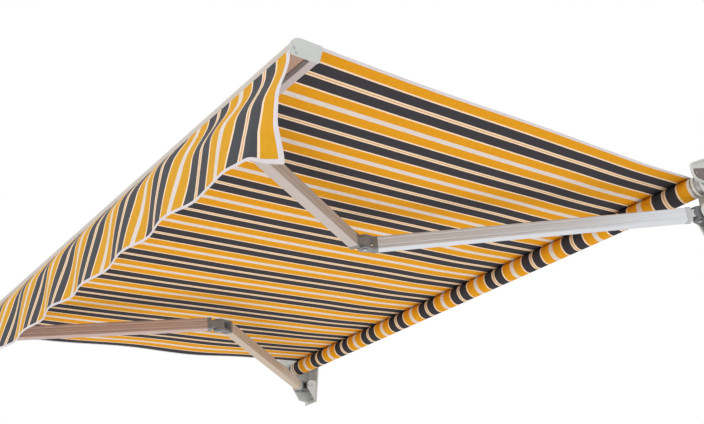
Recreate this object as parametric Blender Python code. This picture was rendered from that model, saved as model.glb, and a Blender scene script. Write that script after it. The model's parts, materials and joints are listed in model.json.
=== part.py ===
"""Electric folding-arm awning with a striped cloth: wall brackets, open roller with tube motor between two end
covers, two folding arms with forked elbows, front bar, canopy and rippled valance, shown fully let out.

Metres. X runs along the wall from the left bracket to the right one, -Y points away from the wall, +Z is up.
The origin is the middle of the left wall bracket's back face.
"""

import math

import bmesh
import bpy
from mathutils import Matrix, Vector

# Gap between pieces that touch
SEAT_GAP = 0.0003
PIN_CLEARANCE = 0.0003

# Cloth
CLOTH_WIDTH = 2.875
CLOTH_THICKNESS = 0.0012
STRIPE_PITCH = 0.25
CANOPY_SAG = 0.008
VALANCE_HEIGHT = 0.343
VALANCE_RIPPLES = 10
VALANCE_RIPPLE = 0.012
VALANCE_BULGE = 0.045
HEM_ROD_RADIUS = 0.0040

# Wall brackets
BRACKET_OVERHANG = 0.0025
BRACKET_WIDTH = 0.115
BRACKET_HEIGHT = 0.300
BRACKET_PLATE = 0.008
ANCHOR_HOLE_RADIUS = 0.006
ANCHOR_EDGE = 0.020
ANCHOR_SPREAD = 0.070
CHEEK_THICKNESS = 0.008
CHEEK_CLEARANCE = 0.0035
CHEEK_FRONT_RADIUS = 0.036
OUTER_CHEEK_REACH = 0.030
OUTER_CHEEK_TOP = 0.004

# Roller and what carries it
ROLLER_OUT = 0.121
ROLLER_UP = 0.055
ROLL_RADIUS = 0.045
TUBE_RADIUS = 0.039
TUBE_WALL = 0.0015
TUBE_PAST_CLOTH = 0.040
END_PLATE_GAP = 0.0095
END_PLATE_THICKNESS = 0.008
END_PLATE_NOSE = 0.012
END_PLATE_RIM = 0.004
END_PLATE_RIM_WIDTH = 0.006
PLUG_RIM = 0.004
PLUG_LENGTH = 0.050
STUB_RADIUS = 0.008
MOTOR_RADIUS = 0.021
MOTOR_LENGTH = 0.62
MOTOR_SHAFT_RADIUS = 0.006
MOTOR_SHAFT_DEPTH = 0.015
MOTOR_HEAD_RADIUS = 0.0225
MOTOR_FLANGE = 0.005
MOTOR_FLANGE_RADIUS = 0.035
MOTOR_SPIGOT_RADIUS = 0.0125
DRIVE_WHEEL_LENGTH = 0.030
DRIVE_WHEEL_NOTCH = 0.006
CROWN_LENGTH = 0.022
CARRIER_SIDE = 0.040
CARRIER_WALL = 0.003
CARRIER_TOP = 0.118
COVER_THICKNESS = 0.010
COVER_POCKET = 0.006
COVER_RIM_WIDTH = 0.006
COVER_FRONT_OUT = 0.235
COVER_BOTTOM = 0.030
COVER_TOP = 0.190
COVER_LOWER_CORNER = 0.031
COVER_FRONT_CORNER = 0.030
COVER_FRONT_CORNER_UP = 0.083
COVER_BREAK_OUT = 0.085
COVER_BREAK_RADIUS = 0.030
COVER_ROOF_LEAN = 32

# Folding arms, measured pin to pin and laid out in a plane that slopes down from the wall
ARM_SLOPE = math.radians(9.9)
PITCH_UP = math.radians(3)
PITCH_DOWN = math.radians(5)
REAR_ARM_LENGTH = 1.395
FORE_ARM_LENGTH = 1.035
REAR_ARM_ANGLE = math.radians(52.1)
SHOULDER_INSET = 0.015
SHOULDER_OUT = 0.108
SHOULDER_DOWN = 0.064
TILT_BACK = 0.068
ELBOW_OFFSET = 0.027
ARM_WIDTH = 0.042
ARM_HEIGHT = 0.058
ARM_WALL = 0.003
ARM_CORNER = 0.005
GROOVE_WIDTH = 0.007
GROOVE_DEPTH = 0.0016
GROOVE_SPACING = 0.026
SOCKET_RIM = 0.002
SOCKET_START = 0.036
SOCKET_LENGTH = 0.020
SPIGOT_LENGTH = 0.045
SOCKET_OVERLAP = 0.008
LUG_RADIUS = 0.0275
TONGUE_THICKNESS = 0.033
EAR_THICKNESS = 0.0115
EAR_GAP = 0.0005
ARM_PIN_RADIUS = 0.007
PIN_HEAD_RIM = 0.005
PIN_HEAD_HEIGHT = 0.004
TILT_PIN_RADIUS = 0.007
TILT_BARREL_RADIUS = 0.018
YOKE_BLOCK_START = 0.032
BLOCK_PROUD = 0.001
PITCH_BOLT_RADIUS = 0.005
PITCH_BOLT_AHEAD = 0.024
SPRING_LENGTH = 0.36
SPRING_RADIUS = 0.0125
SPRING_WIRE = 0.0024
SPRING_TURNS = 18

# Front bar, placed in the arms' plane from the front pins
BAR_DEPTH = 0.118
BAR_HEIGHT = 0.062
BAR_WALL = 0.003
BAR_FRONT_CORNER = 0.044
BAR_UNDER_CORNER = 0.008
BAR_REAR_CORNER = 0.006
BAR_REAR_LEAN = 0.018
BAR_AHEAD_OF_PINS = 0.004
BAR_ABOVE_ARMS = 0.089
BAR_CAP_THICKNESS = 0.005
BAR_CAP_SPIGOT = 0.020
BAR_CAP_RIM = 0.0015
SLOT_MOUTH = 0.0036
SLOT_LIP = 0.0022
SLOT_RADIUS = 0.0058
CANOPY_SLOT_INSET = 0.016
VALANCE_SLOT_DROP = 0.018
SHOE_SLOT_MOUTH = 0.010
SHOE_SLOT_LIP = 0.003
SHOE_SLOT_WIDTH = 0.020
SHOE_SLOT_DEPTH = 0.012
SHOE_FOOT_THICKNESS = 0.010
SHOE_FOOT_BEHIND = 0.030
SHOE_BLOCK_OUT = 0.046
SHOE_WIDTH = 0.064
SHOE_KEY_GAP = 0.0006

# Places worked out from the sizes above
SPAN = CLOTH_WIDTH + 2 * BRACKET_OVERHANG
MIDDLE = SPAN / 2
CLOTH_HALF = CLOTH_WIDTH / 2
TUBE_HALF = CLOTH_HALF + TUBE_PAST_CLOTH
PLATE_INNER = TUBE_HALF + END_PLATE_GAP
SHOULDER_HALF = MIDDLE - SHOULDER_INSET
TIP_HALF = SHOULDER_HALF - (REAR_ARM_LENGTH - FORE_ARM_LENGTH)
FORE_ARM_ANGLE = math.acos(
    (REAR_ARM_LENGTH * math.cos(REAR_ARM_ANGLE) - REAR_ARM_LENGTH + FORE_ARM_LENGTH) / FORE_ARM_LENGTH
)
REACH = REAR_ARM_LENGTH * math.sin(REAR_ARM_ANGLE) + FORE_ARM_LENGTH * math.sin(FORE_ARM_ANGLE)
EAR_INNER = TONGUE_THICKNESS / 2 + EAR_GAP
EAR_OUTER = EAR_INNER + EAR_THICKNESS
SOCKET_END = SOCKET_START + SOCKET_LENGTH
CHEEK_INNER = LUG_RADIUS + CHEEK_CLEARANCE
BAR_CENTRE_Y = -TILT_BACK - REACH - BAR_AHEAD_OF_PINS
BAR_UNDERSIDE = BAR_ABOVE_ARMS - BAR_HEIGHT / 2

for old in list(bpy.data.objects):
    bpy.data.objects.remove(old)


# Materials


def plain_material(name, colour, roughness, metallic=0.0):
    """A Principled material of one colour."""
    material = bpy.data.materials.new(name)
    material.use_nodes = True
    shader = material.node_tree.nodes["Principled BSDF"]
    shader.inputs["Base Color"].default_value = (*colour, 1.0)
    shader.inputs["Roughness"].default_value = roughness
    shader.inputs["Metallic"].default_value = metallic
    material.diffuse_color = (*colour, 1.0)
    return material


def striped_material(name):
    """Woven cloth whose stripes run away from the wall and repeat every STRIPE_PITCH along X."""
    yellow, cream, beige = (0.78, 0.35, 0.03), (0.88, 0.72, 0.55), (0.73, 0.60, 0.56)
    charcoal, tan = (0.055, 0.06, 0.075), (0.50, 0.32, 0.20)
    half = [(0.053, beige), (0.178, yellow), (0.038, cream), (0.180, charcoal), (0.033, cream)]
    widths = [*half, (0.032, tan), *reversed(half)]
    material = plain_material(name, yellow, 0.85)
    nodes, links = material.node_tree.nodes, material.node_tree.links
    place = nodes.new("ShaderNodeTexCoord")
    split = nodes.new("ShaderNodeSeparateXYZ")
    repeat = nodes.new("ShaderNodeMath")
    repeat.operation = "MULTIPLY_ADD"
    repeat.inputs[1].default_value = 1 / STRIPE_PITCH
    repeat.inputs[2].default_value = 1 - CLOTH_WIDTH / 2 / STRIPE_PITCH % 1
    phase = nodes.new("ShaderNodeMath")
    phase.operation = "FRACT"
    ramp = nodes.new("ShaderNodeValToRGB")
    ramp.color_ramp.interpolation = "CONSTANT"
    while len(ramp.color_ramp.elements) < len(widths):
        ramp.color_ramp.elements.new(1.0)
    position = 0.0
    for stop, (width, colour) in zip(ramp.color_ramp.elements, widths):
        stop.position = position
        stop.color = (*colour, 1.0)
        position += width / sum(share for share, _ in widths)
    links.new(place.outputs["Object"], split.inputs[0])
    links.new(split.outputs["X"], repeat.inputs[0])
    links.new(repeat.outputs[0], phase.inputs[0])
    links.new(phase.outputs[0], ramp.inputs[0])
    links.new(ramp.outputs["Color"], nodes["Principled BSDF"].inputs["Base Color"])
    return material


PALE_COAT = plain_material("pale_powder_coat", (0.56, 0.58, 0.57), 0.42, 0.1)
ALUMINIUM = plain_material("anodised_aluminium", (0.62, 0.62, 0.62), 0.32, 0.9)
CAST_GREY = plain_material("cast_grey", (0.26, 0.27, 0.28), 0.5, 0.6)
STEEL = plain_material("plated_steel", (0.50, 0.50, 0.49), 0.35, 1.0)
DARK_PLASTIC = plain_material("dark_plastic", (0.05, 0.05, 0.055), 0.5)
CLOTH = striped_material("striped_cloth")


# Outlines, as lists of two-figure points


def arc(centre, radius, start, end, steps):
    """Points on a round stretch, from one angle to another in degrees, both ends included."""
    turns = [math.radians(start + (end - start) * step / steps) for step in range(steps + 1)]
    return [(centre[0] + radius * math.cos(t), centre[1] + radius * math.sin(t)) for t in turns]


def rounded_rectangle(width, height, corner, steps=3):
    """A rectangle about the origin with round corners."""
    x, y = width / 2 - corner, height / 2 - corner
    outline = []
    for centre, start in (((x, -y), -90), ((x, y), 0), ((-x, y), 90), ((-x, -y), 180)):
        outline += arc(centre, corner, start, start + 90, steps)
    return outline


def circle(centre, radius, steps=20):
    """A full circle."""
    return arc(centre, radius, 0, 360 - 360 / steps, steps - 1)


def lug(reach, low, high, radius, steps=14):
    """An eye round the origin with straight sides to a flat end at x = reach, between y = low and high."""
    upper = math.atan2(high, reach) + math.acos(radius / math.hypot(reach, high))
    lower = math.atan2(low, reach) - math.acos(radius / math.hypot(reach, low)) + 2 * math.pi
    eye = arc((0, 0), radius, math.degrees(upper), math.degrees(lower), steps)
    return [(reach, high), *eye, (reach, low)]


# Solids, as meshes


def mesh_of(shape):
    """Turns a bmesh into a mesh with faces pointing out."""
    bmesh.ops.recalc_face_normals(shape, faces=shape.faces)
    mesh = bpy.data.meshes.new("shape")
    shape.to_mesh(mesh)
    shape.free()
    return mesh


def prism(outline, low, high, along, holes=()):
    """The outline less its holes, drawn out from low to high along an axis."""
    order = {"X": lambda u, v, w: (w, u, v), "Y": lambda u, v, w: (u, w, v), "Z": lambda u, v, w: (u, v, w)}
    place = order[along]
    shape = bmesh.new()
    edges = []
    for loop in (outline, *holes):
        corners = [shape.verts.new(place(u, v, low)) for u, v in loop]
        edges += [shape.edges.new((corners[i - 1], corners[i])) for i in range(len(corners))]
    filled = bmesh.ops.triangle_fill(shape, edges=edges, use_beauty=True)
    faces = [item for item in filled["geom"] if isinstance(item, bmesh.types.BMFace)]
    grown = bmesh.ops.extrude_face_region(shape, geom=faces)
    moved = [item for item in grown["geom"] if isinstance(item, bmesh.types.BMVert)]
    bmesh.ops.translate(shape, verts=moved, vec=place(0, 0, high - low))
    return mesh_of(shape)


def turned(profile, along="Z", steps=24, closed=False):
    """A solid of revolution from (radius, height) points, open at the axis or a closed ring."""
    shape = bmesh.new()
    corners = [shape.verts.new((radius, 0, height)) for radius, height in profile]
    pairs = list(zip(corners, corners[1:] + corners[:1]))
    edges = [shape.edges.new(pair) for pair in (pairs if closed else pairs[:-1])]
    axis = {"cent": (0, 0, 0), "axis": (0, 0, 1)}
    bmesh.ops.spin(shape, geom=corners + edges, angle=2 * math.pi, steps=steps, use_merge=True, **axis)
    bmesh.ops.remove_doubles(shape, verts=shape.verts, dist=1e-7)
    turns = {"Z": Matrix(), "X": Matrix.Rotation(math.pi / 2, 4, "Y")}
    bmesh.ops.transform(shape, matrix=turns[along], verts=shape.verts)
    return mesh_of(shape)


def rod(radius, low, high, along="Z", steps=16):
    """A plain round bar."""
    return turned([(0, low), (radius, low), (radius, high), (0, high)], along, steps)


def pipe(outer, inner, low, high, along="X", steps=32):
    """A round tube with open ends."""
    return turned([(outer, low), (outer, high), (inner, high), (inner, low)], along, steps, closed=True)


def shifted(mesh, x=0.0, y=0.0, z=0.0):
    """The same mesh, moved."""
    mesh.transform(Matrix.Translation((x, y, z)))
    return mesh


def combined(first, second, operation):
    """One mesh from two by a Boolean, with the working objects cleared away."""
    base = bpy.data.objects.new("base", first)
    tool = bpy.data.objects.new("tool", second)
    for item in (base, tool):
        bpy.context.scene.collection.objects.link(item)
    step = base.modifiers.new("combine", "BOOLEAN")
    step.operation = operation
    step.object = tool
    graph = bpy.context.evaluated_depsgraph_get()
    result = bpy.data.meshes.new_from_object(base.evaluated_get(graph))
    bpy.data.objects.remove(base)
    bpy.data.objects.remove(tool)
    return result


def united(*meshes):
    """One solid from several that overlap."""
    whole = meshes[0]
    for mesh in meshes[1:]:
        whole = combined(whole, mesh, "UNION")
    return whole


def cut(mesh, *tools):
    """A solid with others taken out of it."""
    for tool in tools:
        mesh = combined(mesh, tool, "DIFFERENCE")
    return mesh


def joint_frame(name, location, parent=None, turn_x=0.0, turn_z=0.0):
    """An empty on a joint's axis that carries the pieces of one moving group."""
    empty = bpy.data.objects.new(name, None)
    bpy.context.scene.collection.objects.link(empty)
    empty.parent = parent
    empty.location = location
    empty.rotation_euler = (turn_x, 0, turn_z)
    return empty


def add(name, mesh, material, parent=None, location=(0, 0, 0)):
    """Puts a named piece in the scene with round faces shaded smooth."""
    mesh.name = name
    mesh.materials.clear()
    mesh.materials.append(material)
    mesh.shade_smooth()
    mesh.set_sharp_from_angle(angle=math.radians(35))
    piece = bpy.data.objects.new(name, mesh)
    bpy.context.scene.collection.objects.link(piece)
    piece.parent = parent
    piece.location = location
    return piece


# The left side is at low X: side is -1 on the left and +1 on the right.
SIDES = (("left", -1), ("right", 1))


def between(low, high):
    """The two ends of a stretch in rising order, whichever side it is on."""
    return (low, high) if low < high else (high, low)


# Wall brackets

TILT_Y = -SHOULDER_OUT + TILT_BACK * math.cos(ARM_SLOPE)
TILT_Z = -SHOULDER_DOWN + TILT_BACK * math.sin(ARM_SLOPE)


def pitch_slot():
    """Curved slot round the tilt pin, as far as the pitch bolt travels with the shoulder."""
    half = PITCH_BOLT_RADIUS + PIN_CLEARANCE
    low = math.degrees(math.pi + ARM_SLOPE - PITCH_UP)
    high = math.degrees(math.pi + ARM_SLOPE + PITCH_DOWN)
    centre = (TILT_Y, TILT_Z)
    ends = [arc(centre, PITCH_BOLT_AHEAD, angle, angle, 1)[0] for angle in (low, high)]
    return [
        *arc(centre, PITCH_BOLT_AHEAD + half, low, high, 3),
        *arc(ends[1], half, high, high + 180, 6)[1:-1],
        *arc(centre, PITCH_BOLT_AHEAD - half, high, low, 3),
        *arc(ends[0], half, low + 180, low + 360, 6)[1:-1],
    ]


def wall_bracket(side):
    """Cast plate with two cheeks that hold the tilting shoulder. The outer cheek reaches further forward."""
    centre = MIDDLE + side * MIDDLE
    shoulder = MIDDLE + side * SHOULDER_HALF
    half, tall = BRACKET_WIDTH / 2, BRACKET_HEIGHT / 2
    anchors = [
        (centre - ANCHOR_SPREAD / 2, tall - ANCHOR_EDGE),
        (centre + ANCHOR_SPREAD / 2, tall - ANCHOR_EDGE),
        (shoulder, ANCHOR_EDGE - tall),
    ]
    corners = [(centre - half, -tall), (centre + half, -tall), (centre + half, tall), (centre - half, tall)]
    holes = [circle(place, ANCHOR_HOLE_RADIUS, 14) for place in anchors]
    plate = prism(corners, -BRACKET_PLATE, 0, "Y", holes)
    root = -BRACKET_PLATE / 2
    foot = BRACKET_PLATE - tall
    inner_outline = [
        (root, foot),
        *arc((TILT_Y, TILT_Z), CHEEK_FRONT_RADIUS, 250, 90, 12),
        (root, TILT_Z + CHEEK_FRONT_RADIUS),
    ]
    nose = (-SHOULDER_OUT - OUTER_CHEEK_REACH + LUG_RADIUS, -SHOULDER_DOWN)
    outer_outline = [
        (root, foot),
        (-SHOULDER_OUT + LUG_RADIUS, foot),
        *arc(nose, LUG_RADIUS, 225, 135, 6),
        (-SHOULDER_OUT, -OUTER_CHEEK_TOP - LUG_RADIUS / 2),
        (root, -OUTER_CHEEK_TOP),
    ]
    tilt_hole = circle((TILT_Y, TILT_Z), TILT_PIN_RADIUS + PIN_CLEARANCE, 16)
    cheeks = []
    for facing, outline in ((-side, inner_outline), (side, outer_outline)):
        near = shoulder + facing * CHEEK_INNER
        stretch = between(near, near + facing * CHEEK_THICKNESS)
        cheeks.append(prism(outline, *stretch, "X", [tilt_hole, pitch_slot()]))
    return united(plate, *cheeks)


for word, side in SIDES:
    add(f"wall_bracket_{word}", wall_bracket(side), PALE_COAT)


# Roller end plates, which carry the idler stub on the left and the motor on the right


def end_plate_outline(inset=0.0):
    """Side view of an end plate: a round nose about the roller's axis and a straight back."""
    nose = ROLL_RADIUS + END_PLATE_NOSE - inset
    back = -BRACKET_PLATE - SEAT_GAP - inset
    return [
        (back, ROLLER_UP - nose),
        *arc((-ROLLER_OUT, ROLLER_UP), nose, 270, 90, 14),
        (back, ROLLER_UP + nose),
    ]


def roller_end_plate(side, bore):
    """Flat plate with a raised rim to the outside and a bossed bore on the roller's axis."""
    inner = MIDDLE + side * PLATE_INNER
    outer = inner + side * END_PLATE_THICKNESS
    floor = outer - side * END_PLATE_RIM
    beyond = outer + side * END_PLATE_RIM
    axis = (-ROLLER_OUT, ROLLER_UP)
    plate = prism(end_plate_outline(), *between(inner, outer), "X", [circle(axis, bore)])
    pocket = prism(
        end_plate_outline(END_PLATE_RIM_WIDTH),
        *between(floor, beyond),
        "X",
        [circle(axis, bore + END_PLATE_RIM_WIDTH)],
    )
    return cut(plate, pocket)


for word, side in SIDES:
    bore = MOTOR_SPIGOT_RADIUS if side > 0 else STUB_RADIUS
    add(f"roller_end_plate_{word}", roller_end_plate(side, bore + PIN_CLEARANCE), PALE_COAT)


# Roller: steel tube with the last turns of cloth on it, an idler plug on the left and a tube motor inside

ROLLER_AXIS = (MIDDLE, -ROLLER_OUT, ROLLER_UP)
TUBE_BORE = TUBE_RADIUS - TUBE_WALL
BORE_FIT = TUBE_BORE - SEAT_GAP
END_PLATE_OUTER = PLATE_INNER + END_PLATE_THICKNESS
roller = joint_frame("roller_axis", ROLLER_AXIS)
add("roller_tube", pipe(TUBE_RADIUS, TUBE_BORE, -TUBE_HALF, TUBE_HALF), STEEL, roller)
add("cloth_roll", pipe(ROLL_RADIUS, TUBE_RADIUS + SEAT_GAP, -CLOTH_HALF, CLOTH_HALF), CLOTH, roller)

PLUG_END = -TUBE_HALF - PLUG_RIM
PLUG_PROFILE = [
    (STUB_RADIUS + PIN_CLEARANCE, PLUG_END),
    (TUBE_RADIUS, PLUG_END),
    (TUBE_RADIUS, -TUBE_HALF - SEAT_GAP),
    (BORE_FIT, -TUBE_HALF - SEAT_GAP),
    (BORE_FIT, PLUG_END + PLUG_LENGTH),
    (STUB_RADIUS + PIN_CLEARANCE, PLUG_END + PLUG_LENGTH),
]
add("idler_plug", turned(PLUG_PROFILE, "X", 28, closed=True), DARK_PLASTIC, roller)
stub = rod(STUB_RADIUS, -END_PLATE_OUTER, PLUG_END + PLUG_LENGTH, "X", 20)
add("idler_stub", stub, STEEL, location=ROLLER_AXIS)

# The motor and its head are fixed to the right end plate. The crown and the drive wheel turn with the tube.
CROWN_START = TUBE_HALF - CROWN_LENGTH
FLANGE_START = PLATE_INNER - MOTOR_FLANGE
HEAD_PROFILE = [
    (0, CROWN_START),
    (MOTOR_HEAD_RADIUS, CROWN_START),
    (MOTOR_HEAD_RADIUS, FLANGE_START),
    (MOTOR_FLANGE_RADIUS, FLANGE_START),
    (MOTOR_FLANGE_RADIUS, PLATE_INNER - SEAT_GAP),
    (MOTOR_SPIGOT_RADIUS, PLATE_INNER - SEAT_GAP),
    (MOTOR_SPIGOT_RADIUS, END_PLATE_OUTER),
    (0, END_PLATE_OUTER),
]
add("motor_head", turned(HEAD_PROFILE, "X", 28), DARK_PLASTIC, location=ROLLER_AXIS)
CROWN_PROFILE = [
    (MOTOR_HEAD_RADIUS + PIN_CLEARANCE, CROWN_START),
    (BORE_FIT, CROWN_START),
    (BORE_FIT, TUBE_HALF + SEAT_GAP),
    (TUBE_RADIUS, TUBE_HALF + SEAT_GAP),
    (TUBE_RADIUS, FLANGE_START - SEAT_GAP),
    (MOTOR_HEAD_RADIUS + PIN_CLEARANCE, FLANGE_START - SEAT_GAP),
]
add("limit_crown", turned(CROWN_PROFILE, "X", 28, closed=True), DARK_PLASTIC, roller)
MOTOR_HIGH = CROWN_START - SEAT_GAP
MOTOR_LOW = MOTOR_HIGH - MOTOR_LENGTH
SOCKET_RADIUS = MOTOR_SHAFT_RADIUS + PIN_CLEARANCE
MOTOR_PROFILE = [
    (0, MOTOR_LOW + MOTOR_SHAFT_DEPTH),
    (SOCKET_RADIUS, MOTOR_LOW + MOTOR_SHAFT_DEPTH),
    (SOCKET_RADIUS, MOTOR_LOW),
    (MOTOR_RADIUS, MOTOR_LOW),
    (MOTOR_RADIUS, MOTOR_HIGH),
    (0, MOTOR_HIGH),
]
add("tube_motor", turned(MOTOR_PROFILE, "X", 28), ALUMINIUM, location=ROLLER_AXIS)


def drive_wheel_outline(notches=4, steps=12):
    """Round wheel that fills the tube's bore, with wide notches between its lands."""
    points = []
    for step in range(notches * steps):
        inside = steps // 3 <= step % steps < 2 * steps // 3
        radius = BORE_FIT - (DRIVE_WHEEL_NOTCH if inside else 0)
        turn = 2 * math.pi * step / (notches * steps)
        points.append((radius * math.cos(turn), radius * math.sin(turn)))
    return points


# The output shaft is one with the drive wheel and turns in the motor's end
wheel_high = MOTOR_LOW - SEAT_GAP
wheel = united(
    prism(drive_wheel_outline(), wheel_high - DRIVE_WHEEL_LENGTH, wheel_high, "X"),
    rod(MOTOR_SHAFT_RADIUS, wheel_high - DRIVE_WHEEL_LENGTH / 2, wheel_high + MOTOR_SHAFT_DEPTH, "X", 20),
)
add("drive_wheel", wheel, DARK_PLASTIC, roller)


# Square carrier bar between the end plates, against the brackets

carrier_half = PLATE_INNER - SEAT_GAP
carrier_bore = CARRIER_SIDE - 2 * CARRIER_WALL
carrier = prism(
    rounded_rectangle(CARRIER_SIDE, CARRIER_SIDE, CARRIER_WALL, 2),
    -carrier_half,
    carrier_half,
    "X",
    [rounded_rectangle(carrier_bore, carrier_bore, CARRIER_WALL / 2, 1)],
)
carrier_y = -BRACKET_PLATE - SEAT_GAP - CARRIER_SIDE / 2
add("carrier_bar", carrier, PALE_COAT, location=(MIDDLE, carrier_y, CARRIER_TOP - CARRIER_SIDE / 2))


# Covers over the roller's ends: plates with a rim to the outside, held on the end plates


def cover_outline(inset=0.0):
    """Side view of an end cover: round corners below and in front, a sloping roof and a straight back."""
    back = -BRACKET_PLATE - SEAT_GAP - inset
    lower = (COVER_LOWER_CORNER - COVER_FRONT_OUT, COVER_BOTTOM + COVER_LOWER_CORNER)
    front = (COVER_FRONT_CORNER - COVER_FRONT_OUT, COVER_FRONT_CORNER_UP)
    roof = (-COVER_BREAK_OUT, COVER_TOP - COVER_BREAK_RADIUS)
    slope = 90 + COVER_ROOF_LEAN
    return [
        (back, COVER_TOP - inset),
        *arc(roof, COVER_BREAK_RADIUS - inset, 90, slope, 4),
        *arc(front, COVER_FRONT_CORNER - inset, slope, 180, 6),
        *arc(lower, COVER_LOWER_CORNER - inset, 180, 270, 6),
        (back, ROLLER_UP + inset),
    ]


for word, side in SIDES:
    near = side * (END_PLATE_OUTER + SEAT_GAP)
    outer = near + side * COVER_THICKNESS
    pocket_floor, beyond = outer - side * COVER_POCKET, outer + side * COVER_POCKET
    cover = prism(cover_outline(), *between(near, outer), "X")
    pocket = prism(cover_outline(COVER_RIM_WIDTH), *between(pocket_floor, beyond), "X")
    add(f"end_cover_{word}", cut(cover, pocket), PALE_COAT, location=(MIDDLE, 0, 0))


# What follows hangs on the two shoulders and tilts with them. Its frame lies in the arms' plane.

pitch = joint_frame("pitch_axis", (MIDDLE, TILT_Y, TILT_Z), turn_x=ARM_SLOPE)


def swung(outline, turns):
    """An outline turned by quarter turns."""
    for _ in range(turns % 4):
        outline = [(-v, u) for u, v in outline]
    return outline


def headed_pin(radius, length, along="Z"):
    """A pin with a low round head at one end and a clip ring at the other."""
    low, high = -length / 2 - SEAT_GAP, length / 2 + SEAT_GAP
    head = radius + PIN_HEAD_RIM
    ring = head - PIN_HEAD_HEIGHT / 2
    profile = [
        (0, low - PIN_HEAD_HEIGHT),
        (head - PIN_HEAD_HEIGHT / 4, low - PIN_HEAD_HEIGHT),
        (head, low - PIN_HEAD_HEIGHT * 3 / 4),
        (head, low),
        (radius, low),
        (radius, high),
        (ring, high),
        (ring, high + PIN_HEAD_HEIGHT / 2),
        (0, high + PIN_HEAD_HEIGHT / 2),
    ]
    return turned(profile, along, 16)


def eared_block(eye, block_low, block_high):
    """Two ears with a pin hole at the origin and a full-height block across them."""
    hole = [circle((0, 0), ARM_PIN_RADIUS + PIN_CLEARANCE, 16)]
    ears = [prism(eye, *between(sign * EAR_INNER, sign * EAR_OUTER), "Z", hole) for sign in (-1, 1)]
    half_width, half_height = LUG_RADIUS + BLOCK_PROUD, EAR_OUTER + BLOCK_PROUD
    section = rounded_rectangle(2 * half_width, 2 * half_height, 4 * BLOCK_PROUD, 2)
    return united(prism(section, block_low, block_high, "Y"), *ears)


def shoulder_yoke():
    """Ears round the shoulder pin at the origin, a block behind them and a barrel on the tilt pin."""
    block_end = TILT_BACK - TILT_BARREL_RADIUS / 2
    eye = swung(lug(block_end - BLOCK_PROUD, -LUG_RADIUS, LUG_RADIUS, LUG_RADIUS), 1)
    barrel = rod(TILT_BARREL_RADIUS, SEAT_GAP - CHEEK_INNER, CHEEK_INNER - SEAT_GAP, "X", 24)
    solid = united(eared_block(eye, YOKE_BLOCK_START, block_end), shifted(barrel, y=TILT_BACK))
    tilt_hole = rod(TILT_PIN_RADIUS + PIN_CLEARANCE, -BRACKET_WIDTH, BRACKET_WIDTH, "X", 16)
    bolt_hole = rod(PITCH_BOLT_RADIUS + PIN_CLEARANCE, -BRACKET_WIDTH, BRACKET_WIDTH, "X", 14)
    return cut(solid, shifted(tilt_hole, y=TILT_BACK), shifted(bolt_hole, y=TILT_BACK - PITCH_BOLT_AHEAD))


def arm_outline():
    """Arm tube section: width along Y, height along Z, with two long grooves in each flank."""
    x, z = ARM_WIDTH / 2, ARM_HEIGHT / 2
    half = arc((x - ARM_CORNER, ARM_CORNER - z), ARM_CORNER, -90, 0, 4)
    for centre in (-GROOVE_SPACING / 2, GROOVE_SPACING / 2):
        half += [
            (x, centre - GROOVE_WIDTH / 2),
            (x - GROOVE_DEPTH, centre - GROOVE_WIDTH / 2 + GROOVE_DEPTH),
            (x - GROOVE_DEPTH, centre + GROOVE_WIDTH / 2 - GROOVE_DEPTH),
            (x, centre + GROOVE_WIDTH / 2),
        ]
    half += arc((x - ARM_CORNER, z - ARM_CORNER), ARM_CORNER, 0, 90, 4)
    return half + [(-u, -v) for u, v in half]


BORE_WIDTH = ARM_WIDTH - 2 * (ARM_WALL + GROOVE_DEPTH)
BORE_HEIGHT = ARM_HEIGHT - 2 * ARM_WALL
BORE_CORNER = 0.003


def arm_tube(pin_distance):
    """Extruded tube along X between the collars of its two end castings."""
    seat = SOCKET_END + SEAT_GAP
    bore = rounded_rectangle(BORE_WIDTH, BORE_HEIGHT, BORE_CORNER, 2)
    return prism(arm_outline(), seat, pin_distance - seat, "X", [bore])


def arm_casting(offset, forked):
    """Casting on an arm's end: a spigot in the tube, a collar, then one tongue or two ears round the pin.

    The pin is at the origin, the tube lies towards +X and its centre line is at y = offset.
    """
    low, high = offset - ARM_WIDTH / 2, offset + ARM_WIDTH / 2
    eye = lug(SOCKET_START + SOCKET_OVERLAP, low, high, LUG_RADIUS)
    hole = [circle((0, 0), ARM_PIN_RADIUS + PIN_CLEARANCE, 16)]
    tongue = [(-TONGUE_THICKNESS / 2, TONGUE_THICKNESS / 2)]
    layers = [(EAR_INNER, EAR_OUTER), (-EAR_OUTER, -EAR_INNER)] if forked else tongue
    plates = [prism(eye, bottom, top, "Z", hole) for bottom, top in layers]
    width, height = ARM_WIDTH + 2 * SOCKET_RIM, ARM_HEIGHT + 2 * SOCKET_RIM
    collar = rounded_rectangle(width, height, ARM_CORNER + SOCKET_RIM)
    spigot = rounded_rectangle(BORE_WIDTH - 2 * SEAT_GAP, BORE_HEIGHT - 2 * SEAT_GAP, BORE_CORNER, 2)
    return united(
        shifted(prism(collar, SOCKET_START, SOCKET_END, "X"), y=offset),
        shifted(prism(spigot, SOCKET_END - SOCKET_OVERLAP, SOCKET_END + SPIGOT_LENGTH, "X"), y=offset),
        *plates,
    )


def turned_round(mesh, place):
    """The mesh turned half a turn about Z and moved, for a casting on the far end of an arm."""
    mesh.transform(Matrix.Translation(place) @ Matrix.Rotation(math.pi, 4, "Z"))
    return mesh


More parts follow.
